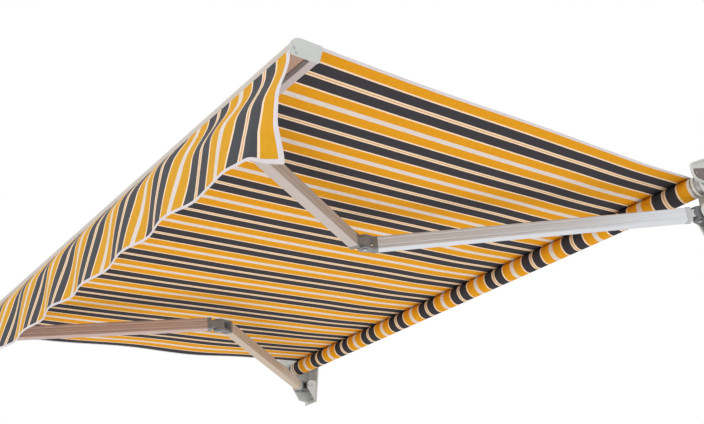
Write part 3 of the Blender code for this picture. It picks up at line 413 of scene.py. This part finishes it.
spiral_length = sum((spiral(0, j + 1) - spiral(0, j)).length for j in range(SPIRAL_STEPS))
winding = cloth_piece(
    "cloth_winding",
    WINDING_COLUMNS,
    SPIRAL_STEPS,
    spiral,
    lambda i, j: (CLOTH_WIDTH * (i / WINDING_COLUMNS - 0.5), -spiral_length * j / SPIRAL_STEPS),
    CLOTH_THICKNESS,
    canvas,
)
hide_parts("cloth_roll")
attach(winding, "roller")


# Carrier bar and end covers: a square steel tube bolted between the end plates, and a cast cover over each end of
# the roller. A brown moulded plate lies in the lower part of each cover, held by two screws.

coat, shader = finish("powder_coated_casting", "#C9CAC4", 0.4)
coat_on_casting = mottle(coat, shader, "#D0D1CC", "#BEBFBA", 0.2, 0.004, 0.0005, (0.33, 0.46))
dress(coat_on_steel, "carrier_bar")
dress(coat_on_casting, "end_cover_left", "end_cover_right")

# The plate is matt brown plastic, slightly blotched.
insert_plastic, shader = finish("matt_brown_plastic", "#6F635D", 0.6)
brown_plastic = mottle(insert_plastic, shader, "#7A6E68", "#5C524D", 0.04, 0.003, 0.0005, (0.5, 0.7))


def screw(radius, height):
    """A low round screw head facing +X, at the origin, its cross recess drawn as a round dish."""
    bpy.ops.object.select_all(action="DESELECT")
    bpy.ops.mesh.primitive_cylinder_add(vertices=16, radius=radius, depth=height, rotation=(0, math.pi / 2, 0))
    head = bpy.context.object
    start_edit(head)
    pick(head, lambda face: face.normal.z > 0.9)
    bpy.ops.mesh.inset(thickness=radius * 0.25)
    bpy.ops.transform.translate(value=(height * 0.3, 0, 0))
    bpy.ops.mesh.inset(thickness=radius * 0.35)
    bpy.ops.transform.translate(value=(-height * 0.45, 0, 0))
    return close_edit(head, radius * 0.06)


def bend(centre, radius, start, end, steps):
    """Points of a round stretch in a side view, between two angles in degrees."""
    turns = [math.radians(start + (end - start) * k / steps) for k in range(steps + 1)]
    return [(centre[0] + radius * math.cos(t), centre[1] + radius * math.sin(t)) for t in turns]


COVER_POCKET = 0.006
PLATE_THICKNESS, PLATE_RAISED, PLATE_EDGE = 0.0016, 0.0012, 0.004
PLATE_MARGIN, PLATE_SHOULDER, PLATE_RISE = 0.0068, 0.080, math.radians(24)
UPPER_CORNER, LOWER_CORNER = 0.016, 0.0242
COVER_SCREWS, SCREW_OFF_FLOOR = ((-0.206, 0.062), (-0.030, 0.120)), 0.0042
SCREW_RADIUS, SCREW_HEAD = 0.0045, 0.0022
cover_low, cover_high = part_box("end_cover_right")
pocket_x = cover_high.x - COVER_POCKET
plate_front, plate_back = cover_low.y + PLATE_MARGIN, cover_high.y - PLATE_MARGIN
plate_foot = cover_low.z + PLATE_MARGIN
PLATE_OUTLINE = [
    (plate_back, PLATE_SHOULDER + (plate_back - plate_front) * math.tan(PLATE_RISE)),
    *bend((plate_front + UPPER_CORNER, PLATE_SHOULDER - UPPER_CORNER), UPPER_CORNER, 114, 180, 5),
    *bend((plate_front + LOWER_CORNER, plate_foot + LOWER_CORNER), LOWER_CORNER, 180, 270, 6),
    (plate_back, ROLL_CENTRE.z + PLATE_MARGIN),
]
cover_sides = (("right", 1, pocket_x), ("left", -1, mirror_x - pocket_x))
for word, side, floor_x in cover_sides:
    bpy.ops.object.select_all(action="DESELECT")
    bpy.ops.mesh.primitive_circle_add(vertices=len(PLATE_OUTLINE), radius=0.05, fill_type="NGON")
    insert = bpy.context.object
    insert.name = f"cover_plate_{word}"
    for corner, (y, z) in zip(insert.data.vertices, PLATE_OUTLINE):
        corner.co = (floor_x + side * SEAT, y, z)
    start_edit(insert)
    pick(insert, lambda face: True)
    bpy.ops.mesh.normals_make_consistent(inside=False)
    bpy.ops.mesh.extrude_region_move(TRANSFORM_OT_translate={"value": (side * PLATE_THICKNESS, 0, 0)})
    bpy.ops.mesh.inset(thickness=PLATE_EDGE)
    bpy.ops.transform.translate(value=(side * PLATE_RAISED, 0, 0))
    bpy.ops.mesh.select_all(action="SELECT")
    bpy.ops.mesh.normals_make_consistent(inside=False)
    close_edit(insert, 0.0006)
    insert.data.materials.append(brown_plastic)
    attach(insert, "frame")
for word, side, floor_x in cover_sides:
    places = [Vector((floor_x + side * SCREW_OFF_FLOOR, y, z)) for y, z in COVER_SCREWS]
    turn = Matrix() if side > 0 else Matrix.Rotation(math.pi, 4, "Z")
    for one in copies(screw(SCREW_RADIUS, SCREW_HEAD), f"cover_screw_{word}", places, turn):
        one.data.materials.append(zinc_plate)
        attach(one, "frame")


# Shoulders: cast yokes tilt between the bracket's cheeks on a pin, and a bolt through a curved slot sets the pitch.

# Pressure die-cast aluminium is painted dark grey, matt, with a slightly pitted skin.
cast, shader = finish("painted_die_casting", "#6E7073", 0.5, 0.35)
die_casting = mottle(cast, shader, "#7A7C7E", "#5C5E60", 0.03, 0.004, 0.0008, (0.4, 0.6))


COLLAR_FROM_PIN = 0.0362


def two_tone_casting(name, pin):
    """Dark within the yoke, with a machined silver collar further from the shoulder pin than COLLAR_FROM_PIN."""
    material, shader = finish(name, "#6E7073", 0.48, 0.35)
    mottle(material, shader, "#7A7C7E", "#5C5E60", 0.03, 0.004, 0.0008, (0.4, 0.56))
    dark = shader.inputs["Base Color"].links[0].from_socket
    place = add_node(material, "ShaderNodeTexCoord").outputs["Object"]
    from_pin = add_node(material, "ShaderNodeVectorMath", {"operation": "DISTANCE", 1: pin}, {0: place})
    beyond = add_node(
        material,
        "ShaderNodeMath",
        {"operation": "GREATER_THAN", 1: COLLAR_FROM_PIN},
        {0: from_pin.outputs["Value"]},
    )
    whole = add_node(
        material,
        "ShaderNodeMix",
        {"data_type": "RGBA", 7: linear("#BFC0C2")},
        {0: beyond.outputs[0], 6: dark},
    )
    material.node_tree.links.new(whole.outputs[2], shader.inputs["Base Color"])
    return material


for side in ("left", "right"):
    dress(die_casting, f"shoulder_yoke_{side}")
    knuckle = two_tone_casting(f"two_tone_casting_{side}", joint_at[f"shoulder_{side}"])
    dress(knuckle, f"rear_arm_knuckle_{side}")
    for name in ("tilt_pin", "pitch_bolt", "shoulder_pin", "elbow_pin", "tip_pin"):
        dress(zinc_plate, f"{name}_{side}")


# Folding arms: grooved aluminium tubes, anodised silver, on grey die-cast knuckles. The die line and the brushing
# run along the tube. A wound spring lies in each fore arm.


def brushed_tube(name, light, dark, from_point, to_point):
    """Anodised aluminium with faint draw lines along one arm. They are under 0.1 mm and are drawn 3 mm wide."""
    material, shader = finish(name, light, 0.42, 0.3)
    place = add_node(material, "ShaderNodeTexCoord").outputs["Object"]
    turn = (to_point - from_point).rotation_difference(Vector((1, 0, 0))).to_euler()
    level = add_node(material, "ShaderNodeMapping", {"Rotation": turn}, {"Vector": place})
    drawn = add_node(
        material,
        "ShaderNodeMapping",
        {"Scale": (2.0, 330.0, 330.0)},
        {"Vector": level.outputs[0]},
    )
    lines = add_node(material, "ShaderNodeTexNoise", {"Scale": 1.0, "Detail": 3.0}, {"Vector": drawn.outputs[0]})
    cloud = add_node(material, "ShaderNodeTexNoise", {"Scale": 14.0, "Detail": 3.0}, {"Vector": place})
    tone = add_node(
        material,
        "ShaderNodeMix",
        {"data_type": "RGBA", 6: linear(dark), 7: linear(light)},
        {0: lines.outputs["Fac"]},
    )
    gloss = add_node(
        material,
        "ShaderNodeMapRange",
        {"To Min": 0.38, "To Max": 0.50},
        {"Value": cloud.outputs["Fac"]},
    )
    relief = add_node(
        material,
        "ShaderNodeBump",
        {"Strength": 0.1, "Distance": 0.0003},
        {"Height": lines.outputs["Fac"]},
    )
    material.node_tree.links.new(tone.outputs[2], shader.inputs["Base Color"])
    material.node_tree.links.new(gloss.outputs[0], shader.inputs["Roughness"])
    material.node_tree.links.new(relief.outputs["Normal"], shader.inputs["Normal"])
    return material


spring_wire, shader = finish("oiled_spring_wire", "#5A5B5D", 0.38, 1.0)
oiled_wire = mottle(spring_wire, shader, "#66676A", "#48494B", 0.01, 0.002, 0.0002, (0.3, 0.5))
# Painted light on one silver: the right rear tube lit bluish, the others warm with a painted reflection of the canopy.
PAINTED_LIGHT_TUBE_TONES = {
    "rear_arm_tube_right": ("#E4E8EE", "#CACED5"),
    "fore_arm_tube_right": ("#C8BDB8", "#B9AEA8"),
    "rear_arm_tube_left": ("#D0BEAC", "#BEAC9A"),
    "fore_arm_tube_left": ("#CBB4AD", "#BBA49E"),
}
elbow_cast, shader = finish("silver_painted_casting", "#8C8E91", 0.48, 0.4)
elbow_casting = mottle(elbow_cast, shader, "#96989B", "#77797C", 0.03, 0.004, 0.0008, (0.4, 0.58))
for side in ("left", "right"):
    shoulder, elbow, tip = (joint_at[f"{name}_{side}"] for name in ("shoulder", "elbow", "tip"))
    for tube, start in ((f"rear_arm_tube_{side}", shoulder), (f"fore_arm_tube_{side}", tip)):
        dress(brushed_tube(f"anodised_{tube}", *PAINTED_LIGHT_TUBE_TONES[tube], start, elbow), tube)
    dress(elbow_casting, f"rear_elbow_fork_{side}", f"fore_elbow_tongue_{side}", f"fore_arm_tip_{side}")
    dress(oiled_wire, f"arm_spring_{side}")


# Front bar: an extruded aluminium section, powder coated, with moulded end caps on two screws each. Cast shoes
# under it hold the arms, keyed into its lower slot.

caps_plastic, shader = finish("moulded_cap_plastic", "#C8CAC7", 0.5)
pale_plastic = mottle(caps_plastic, shader, "#CDCFCC", "#BEC1BE", 0.03, 0.003, 0.0003, (0.45, 0.6))


UNDERSIDE, PAINTED_REFLECTION_FROM = -0.0300, -0.008


def bar_coat_painted_light():
    """The bar's coat: pale on top; below, painted shade in grey-lilac and, to the front, a painted brown reflection.
    """
    material, shader = finish("powder_coated_bar_painted_light", "#C5BCB3", 0.4)
    mottle(material, shader, "#CBC2B9", "#B9B1A8", 0.15, 0.004, 0.0005, (0.34, 0.46))
    pale = shader.inputs["Base Color"].links[0].from_socket
    place = add_node(material, "ShaderNodeTexCoord").outputs["Object"]
    measures = []
    for way in (across_arms, along_arms):
        dot = add_node(material, "ShaderNodeVectorMath", {"operation": "DOT_PRODUCT", 1: way}, {0: place})
        offset = add_node(
            material,
            "ShaderNodeMath",
            {"operation": "SUBTRACT", 1: bar_centre.dot(way)},
            {0: dot.outputs["Value"]},
        )
        measures.append(offset.outputs[0])
    up, back = measures
    below = add_node(material, "ShaderNodeMath", {"operation": "LESS_THAN", 1: UNDERSIDE}, {0: up})
    ahead = add_node(material, "ShaderNodeMath", {"operation": "LESS_THAN", 1: PAINTED_REFLECTION_FROM}, {0: back})
    # The underside's grey-lilac is painted shade, and its brown front a painted reflection of the canopy.
    under = add_node(
        material,
        "ShaderNodeMix",
        {"data_type": "RGBA", 6: linear("#BDB2B4"), 7: linear("#AE8C77")},
        {0: ahead.outputs[0]},
    )
    whole = add_node(
        material,
        "ShaderNodeMix",
        {"data_type": "RGBA"},
        {0: below.outputs[0], 6: pale, 7: under.outputs[2]},
    )
    material.node_tree.links.new(whole.outputs[2], shader.inputs["Base Color"])
    return material


dress(bar_coat_painted_light(), "front_bar")

# A dark extruded strip is clipped over the lower slot wherever no shoe sits; its grey-brown is painted shade in the
# slot.
strip_rubber, shader = finish("rubber_painted_slot_shade", "#6B615E", 0.55)
slot_shade_rubber = mottle(strip_rubber, shader, "#756A67", "#5B524F", 0.05, 0.003, 0.0004, (0.48, 0.62))
STRIP_WIDTH, STRIP_THICKNESS, STRIP_GAP = 0.018, 0.0018, 0.004
shoe_low, shoe_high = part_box("bar_shoe_right")
outer_start, outer_end = shoe_high.x + STRIP_GAP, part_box("front_bar")[1].x - STRIP_GAP
stretches = {
    "right": (outer_start, outer_end),
    "middle": (mirror_x - shoe_low.x + STRIP_GAP, shoe_low.x - STRIP_GAP),
    "left": (mirror_x - outer_end, mirror_x - outer_start),
}
strip_seat = on_bar(0.001, -BAR_TOP - SEAT - STRIP_THICKNESS / 2)
for word, (start, end) in stretches.items():
    middle = ((start + end) / 2, strip_seat.y, strip_seat.z)
    bpy.ops.object.select_all(action="DESELECT")
    bpy.ops.mesh.primitive_cube_add(size=1, location=middle, rotation=(ARM_SLOPE, 0, 0))
    strip = bpy.context.object
    strip.name = f"slot_strip_{word}"
    strip.scale = (end - start, STRIP_WIDTH, STRIP_THICKNESS)
    bpy.ops.object.transform_apply(location=False, rotation=False, scale=True)
    start_edit(strip)
    pick(strip, lambda face: face.normal.z < -0.9)
    bpy.ops.mesh.inset(thickness=0.004)
    bpy.ops.transform.translate(value=tuple(across_arms * -STRIP_THICKNESS / 2))
    close_edit(strip, 0.0004)
    strip.data.materials.append(slot_shade_rubber)
    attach(strip, "front_bar")

# Two screws hold each cap, towards the bar's nose.
CAP_SCREWS, SCREW_PROUD = ((-0.046, -0.008), (-0.040, -0.024)), 0.0006
CAP_SCREW_RADIUS, CAP_SCREW_HEAD = 0.0042, 0.002
for side, way in (("left", -1), ("right", 1)):
    dress(coat_on_casting, f"bar_shoe_{side}")
    dress(pale_plastic, f"front_bar_cap_{side}")
    low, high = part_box(f"front_bar_cap_{side}")
    places = [on_bar(back, up) for back, up in CAP_SCREWS]
    for place in places:
        place.x = (high.x if way > 0 else low.x) + way * SCREW_PROUD
    turn = Matrix() if way > 0 else Matrix.Rotation(math.pi, 4, "Z")
    for one in copies(screw(CAP_SCREW_RADIUS, CAP_SCREW_HEAD), f"bar_screw_{side}", places, turn):
        one.data.materials.append(zinc_plate)
        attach(one, "front_bar")


# Canopy: one sheet of canvas from the roll over the bar's rear edge, sewn round a plastic rod in the bar's top slot.
# It hangs a few millimetres slack, and a woven tape is folded over each side edge.

HEM_RADIUS = 0.0049
ROD_DEPTH = 0.0077  # from the bar's face to a hem rod's middle
CANOPY_SLOT_BACK = 0.043
leave = Vector((0, -math.sin(leaving), math.cos(leaving)))
roll_top = ROLL_CENTRE + leave * (ROLL_RADIUS + CLOTH_LIFT)
rod_centre = on_bar(CANOPY_SLOT_BACK, BAR_TOP - ROD_DEPTH)
FREE_STEPS, HEM_STEPS = 60, 18
# Over this share of its length, next to the roll, the cloth droops a little more than its sag.
DROOP, DROOP_REACH = 0.0035, 0.30
canopy_line = []
for step in range(FREE_STEPS + 1):
    v = step / FREE_STEPS
    point = roll_top.lerp(bar_rear_edge, v)
    point.z -= 4 * SAG * v * (1 - v) + DROOP * math.sin(math.pi * min(v / DROOP_REACH, 1.0)) ** 2
    canopy_line.append(point)
canopy_line += [on_bar(0.048, 0.0322), on_bar(0.0445, 0.0320)]
for step in range(1, HEM_STEPS + 1):
    turn = math.radians(90 + 310 * step / HEM_STEPS)
    hem = along_arms * math.cos(turn) + across_arms * math.sin(turn)
    canopy_line.append(rod_centre + hem * HEM_RADIUS)
canopy_lengths = [0.0]
for a, b in zip(canopy_line, canopy_line[1:]):
    canopy_lengths.append(canopy_lengths[-1] + math.hypot(b.y - a.y, b.z - a.z))
CANOPY_COLUMNS = 96


def canopy_point(i, j):
    """Column i runs along the roller, row j from the roll to the rod. Slack shows as waves, more so at the edges."""
    share = i / CANOPY_COLUMNS
    point = canopy_line[j].copy()
    point.x = CLOTH_MIDDLE + CLOTH_WIDTH * (share - 0.5)
    if j <= FREE_STEPS:
        v = j / FREE_STEPS
        free = math.sin(math.pi * v)
        edge = math.exp(-min(share, 1 - share) * 26)
        # Low waves all over, a flapping of either edge, and a stronger one towards the left
        wave = 0.0011 * math.sin(15.0 * share + 1.3 * v) * math.sin(7.0 * v + 2.1 * share)
        flap = 0.0035 * edge * math.sin(9.5 * v + 3.0 * share)
        left_flap = 0.009 * math.exp(-9 * share) * math.sin(13.0 * v + 4.0 * share)
        point.z += free * (wave + flap + left_flap)
    return point


canopy = cloth_piece(
    "canopy_cloth",
    CANOPY_COLUMNS,
    len(canopy_line) - 1,
    canopy_point,
    lambda i, j: (CLOTH_WIDTH * (i / CANOPY_COLUMNS - 0.5), canopy_lengths[j]),
    CLOTH_THICKNESS,
    canvas,
)

# Edge tape is woven polyester, pale with a lilac cast, and thicker than the canvas.
tape, shader = finish("woven_polyester_tape", "#DDD8DC", 0.78)
binding_tape = mottle(tape, shader, "#E0DBDF", "#CFC9CE", 0.05, 0.003, 0.0006, (0.72, 0.85))


def edge_tape(name, inner, edge, normals, half_gap, wall, fold):
    """Tape folded over a cloth's edge: lists of points along its inner line and along the edge, with normals."""
    shape = bmesh.new()
    rings = []
    for near, far, normal in zip(inner, edge, normals):
        out = (far - near).normalized() * fold
        lift, skin = normal * half_gap, normal * (half_gap + wall)
        ring = [near + lift, near + skin, far + skin, far + out, far - skin, near - skin, near - lift, far - lift]
        ring.append(far + out * 0.4)
        ring.append(far + lift)
        rings.append([shape.verts.new(point) for point in ring])
    count = len(rings[0])
    for first, second in zip(rings, rings[1:]):
        for k in range(count):
            shape.faces.new((first[k], first[(k + 1) % count], second[(k + 1) % count], second[k]))
    shape.faces.new(rings[0])
    shape.faces.new(list(reversed(rings[-1])))
    bmesh.ops.recalc_face_normals(shape, faces=shape.faces)
    mesh = bpy.data.meshes.new(name)
    shape.to_mesh(mesh)
    shape.free()
    mesh.shade_smooth()
    mesh.set_sharp_from_angle(angle=math.radians(50))
    piece = bpy.data.objects.new(name, mesh)
    bpy.context.scene.collection.objects.link(piece)
    piece.data.materials.append(binding_tape)
    return piece


SIDE_TAPE = 0.012
HALF_GAP = 0.0006  # half the room that a folded tape leaves for the canvas
canopy_tapes = []
for word, i, way in (("left", 0, -1), ("right", CANOPY_COLUMNS, 1)):
    rows = range(1, FREE_STEPS + 1)
    edge_line = [canopy_point(i, j) for j in rows]
    inner_line = [point - Vector((way * SIDE_TAPE, 0, 0)) for point in edge_line]
    slopes = [canopy_point(i, j + 1) - canopy_point(i, j - 1) for j in rows]
    normals = [Vector((0, slope.z, -slope.y)).normalized() for slope in slopes]
    canopy_tapes.append(edge_tape(f"canopy_tape_{word}", inner_line, edge_line, normals, HALF_GAP, 0.0005, 0.0012))

# The folding arms bring the bar back; the canopy and its tapes ride with the arm carrier, each with its own mesh.
for piece in (canopy, *canopy_tapes):
    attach(piece, "arm_carrier")
    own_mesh(piece)
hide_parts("canopy")


# Valance: a separate strip of the same canvas, sewn round its rod in the bar's nose. It swells out over the nose,
# hangs in loose ripples, and is bound with tape down both ends and along the bottom.

VALANCE_HEIGHT = 0.343
VALANCE_SLOT_UP = -0.018
LOOP_STEPS = 14
valance_rod_centre = on_bar(BAR_NOSE + ROD_DEPTH, VALANCE_SLOT_UP)
mouth = on_bar(BAR_NOSE - CLOTH_LIFT, VALANCE_SLOT_UP)
loop = []
for step in range(LOOP_STEPS + 1):
    turn = math.radians(-130 + 310 * step / LOOP_STEPS)
    hem = along_arms * math.cos(turn) + across_arms * math.sin(turn)
    loop.append(valance_rod_centre + hem * HEM_RADIUS)
loop_lengths = [0.0]
for a, b in zip(loop, loop[1:]):
    loop_lengths.append(loop_lengths[-1] + (b - a).length)
# The flat cloth is measured from the slot's mouth, 8 mm past the end of the loop.
loop_lengths = [length - loop_lengths[-1] - 0.008 for length in loop_lengths]


def eased(share):
    """0 to 1 with a soft start and end."""
    share = min(max(share, 0.0), 1.0)
    return share * share * (3 - 2 * share)


def ripple(x):
    """How far the bottom edge swings out and back along the bar: folds of uneven width and depth."""
    main = math.sin(2 * math.pi * (x / 0.292 + 0.10 * math.sin(2.1 * x + 0.4)))
    slow = math.sin(2 * math.pi * x / 0.71 + 0.8)
    quick = math.sin(2 * math.pi * x / 0.141 + 2.0)
    return 0.0092 * main * (1 + 0.25 * slow) + 0.0025 * slow + 0.0012 * quick


SWELL = 0.041
CURL_LENGTH, CURL_TOP, CURL_ANGLE = 0.118, 0.060, math.radians(49)


def valance_at(x, down):
    """A point of the hanging cloth: x along the bar from the middle, down from the slot's mouth, in metres."""
    share = down / VALANCE_HEIGHT
    # The cloth swells out at once along most of the bar, and hangs straight down first towards the right end
    at_once = math.sin(math.pi / 2 * min(down / 0.120, 1.0))
    later = eased((down - 0.018) / 0.155)
    swell = SWELL * (at_once + (later - at_once) * eased((x - 0.80) / 0.26)) + 0.006 * share
    near_end = eased((x - 1.24) / 0.18)
    wave = ripple(x + 0.17 * (1 - share)) * share**0.6 * (1 - 0.7 * near_end)
    out = swell + wave - 0.014 * near_end * math.sin(math.pi * min(down / 0.26, 1.0))
    place = Vector((CLOTH_MIDDLE + x, mouth.y - out, mouth.z - down))
    place.z += 0.35 * ripple(x + 0.07) * share**2
    past = x - (CLOTH_WIDTH / 2 - CURL_LENGTH)
    if past > 0:
        # The free end curls back, gently at first and strongly at the bottom
        lower = max(down - CURL_TOP, 0.0) / (VALANCE_HEIGHT - CURL_TOP)
        heading = CURL_ANGLE * (0.35 * lower + 0.65 * lower**5) * eased(past / 0.07)
        part = past * (0.5 + 0.5 * eased(past / CURL_LENGTH))
        place.x += past * (math.cos(heading) - 1)
        place.y += part * math.sin(heading)
        place.z -= 0.006 * eased(past / CURL_LENGTH) * share**2
    return place


VALANCE_COLUMNS = 420
DROP_STEPS = 40


def valance_point(i, j):
    """Column i runs along the bar. The first rows are sewn round the rod, the others hang."""
    x = CLOTH_WIDTH * (i / VALANCE_COLUMNS - 0.5)
    if j < len(loop):
        point = loop[j].copy()
        point.x = CLOTH_MIDDLE + x
        return point
    return valance_at(x, VALANCE_HEIGHT * (j - len(loop)) / DROP_STEPS)


def valance_flat(i, j):
    """The same point on the flat cloth."""
    x = CLOTH_WIDTH * (i / VALANCE_COLUMNS - 0.5)
    return (x, loop_lengths[j] if j < len(loop) else VALANCE_HEIGHT * (j - len(loop)) / DROP_STEPS)


# Daylight falls on the valance's face, so its dyes look paler and a faint nap shows.
valance_canvas = striped_canvas("sunlit_acrylic_canvas", "#D99F28", "#4A4B50", 0.05)
valance = cloth_piece(
    "valance_cloth",
    VALANCE_COLUMNS,
    len(loop) + DROP_STEPS,
    valance_point,
    valance_flat,
    CLOTH_THICKNESS,
    valance_canvas,
)


def cloth_normal(x, down):
    """The way that the hanging cloth faces."""
    step = 0.001
    across = valance_at(x + step, down) - valance_at(x - step, down)
    fall = valance_at(x, down + step) - valance_at(x, down - step)
    return across.cross(fall).normalized()


END_TAPE, BOTTOM_TAPE = 0.014, 0.009
TAPE_ROWS = 40
half = CLOTH_WIDTH / 2
columns = [CLOTH_WIDTH * (i / VALANCE_COLUMNS - 0.5) for i in range(VALANCE_COLUMNS + 1)]
inner_line = [valance_at(x, VALANCE_HEIGHT - BOTTOM_TAPE) for x in columns]
edge_line = [valance_at(x, VALANCE_HEIGHT) for x in columns]
normals = [cloth_normal(x, VALANCE_HEIGHT - BOTTOM_TAPE / 2) for x in columns]
valance_tapes = [edge_tape("valance_tape_bottom", inner_line, edge_line, normals, HALF_GAP, 0.0006, 0.0012)]
drops = [0.004 + (VALANCE_HEIGHT - 0.005) * k / TAPE_ROWS for k in range(TAPE_ROWS + 1)]
for word, way in (("left", -1), ("right", 1)):
    inner_line = [valance_at(way * (half - END_TAPE), down) for down in drops]
    edge_line = [valance_at(way * half, down) for down in drops]
    normals = [cloth_normal(way * (half - END_TAPE / 2), down) for down in drops]
    valance_tapes.append(edge_tape(f"valance_tape_{word}", inner_line, edge_line, normals, HALF_GAP, 0.0009, 0.0014))
for piece in (valance, *valance_tapes):
    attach(piece, "front_bar")
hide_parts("valance")


# Camera, floor and light: seen from below the right-hand end, over a plain pale floor, in soft light.

# The camera was solved from the photograph: its place in the part's frame, its turns and its focal length in pixels.
CAMERA_PLACE = (4.552, -3.179, -2.034)
FOCAL_PIXELS, PICTURE_PIXELS, SENSOR = 905, 704, 36
heading, climb, roll = math.radians(52.98), math.radians(30.83), math.radians(2.57)
ahead = Vector((-math.sin(heading) * math.cos(climb), math.cos(heading) * math.cos(climb), math.sin(climb)))
level = Vector((math.cos(heading), math.sin(heading), 0))
above = level.cross(ahead)
to_right = level * math.cos(roll) + above * math.sin(roll)
to_top = above * math.cos(roll) - level * math.sin(roll)
lens = bpy.data.cameras.new("camera")
lens.sensor_width = SENSOR
lens.lens = FOCAL_PIXELS * SENSOR / PICTURE_PIXELS
lens.clip_end = 200
camera = bpy.data.objects.new("camera", lens)
turned = Matrix((to_right, to_top, -ahead)).transposed().to_4x4()
camera.matrix_world = Matrix.Translation(CAMERA_PLACE) @ turned
bpy.context.scene.collection.objects.link(camera)
bpy.context.scene.camera = camera

FLOOR_Z = -2.75
bpy.ops.object.select_all(action="DESELECT")
bpy.ops.mesh.primitive_plane_add(size=60, location=(CLOTH_MIDDLE, -1, FLOOR_Z))
floor = bpy.context.object
floor.name = "floor"
floor_paint, shader = finish("pale_floor", "#E9E8E5", 0.8)
floor.data.materials.append(floor_paint)


def lamp(name, place, target, size, power):
    """A soft square lamp that faces a point."""
    light = bpy.data.lights.new(name, "AREA")
    light.size = size
    light.energy = power
    one = bpy.data.objects.new(name, light)
    one.location = place
    one.rotation_euler = (Vector(target) - Vector(place)).to_track_quat("-Z", "Y").to_euler()
    bpy.context.scene.collection.objects.link(one)


lamp("key", (6.5, -5.5, 1.8), (1.4, -1.3, -0.2), 3.0, 50)
lamp("fill", (2.5, -6.6, -0.2), (1.4, -1.6, -0.4), 2.4, 20)
lamp("under", (1.4, -1.1, -2.6), (1.4, -1.1, -0.1), 5.0, 44)

# Daylight comes from all round, and the background shows pure white to the camera, in reflections and through glass.
world = bpy.data.worlds.new("soft_daylight")
world.use_nodes = True
bpy.context.scene.world = world
sky = world.node_tree.nodes["Background"]
sky.inputs["Color"].default_value = (1.0, 1.0, 1.0, 1.0)
sky.inputs["Strength"].default_value = 0.95
white = add_node(world, "ShaderNodeBackground", {"Color": (1.0, 1.0, 1.0, 1.0), "Strength": 1.0})
path = add_node(world, "ShaderNodeLightPath").outputs
highest = {"operation": "MAXIMUM"}
seen = add_node(world, "ShaderNodeMath", highest, {0: path["Is Camera Ray"], 1: path["Is Glossy Ray"]})
any_view = add_node(world, "ShaderNodeMath", highest, {0: seen.outputs[0], 1: path["Is Transmission Ray"]})
choice = add_node(world, "ShaderNodeMixShader", links={0: any_view.outputs[0], 1: sky.outputs[0], 2: white.outputs[0]})
world.node_tree.links.new(choice.outputs[0], world.node_tree.nodes["World Output"].inputs["Surface"])
bpy.context.scene.view_settings.view_transform = "Standard"
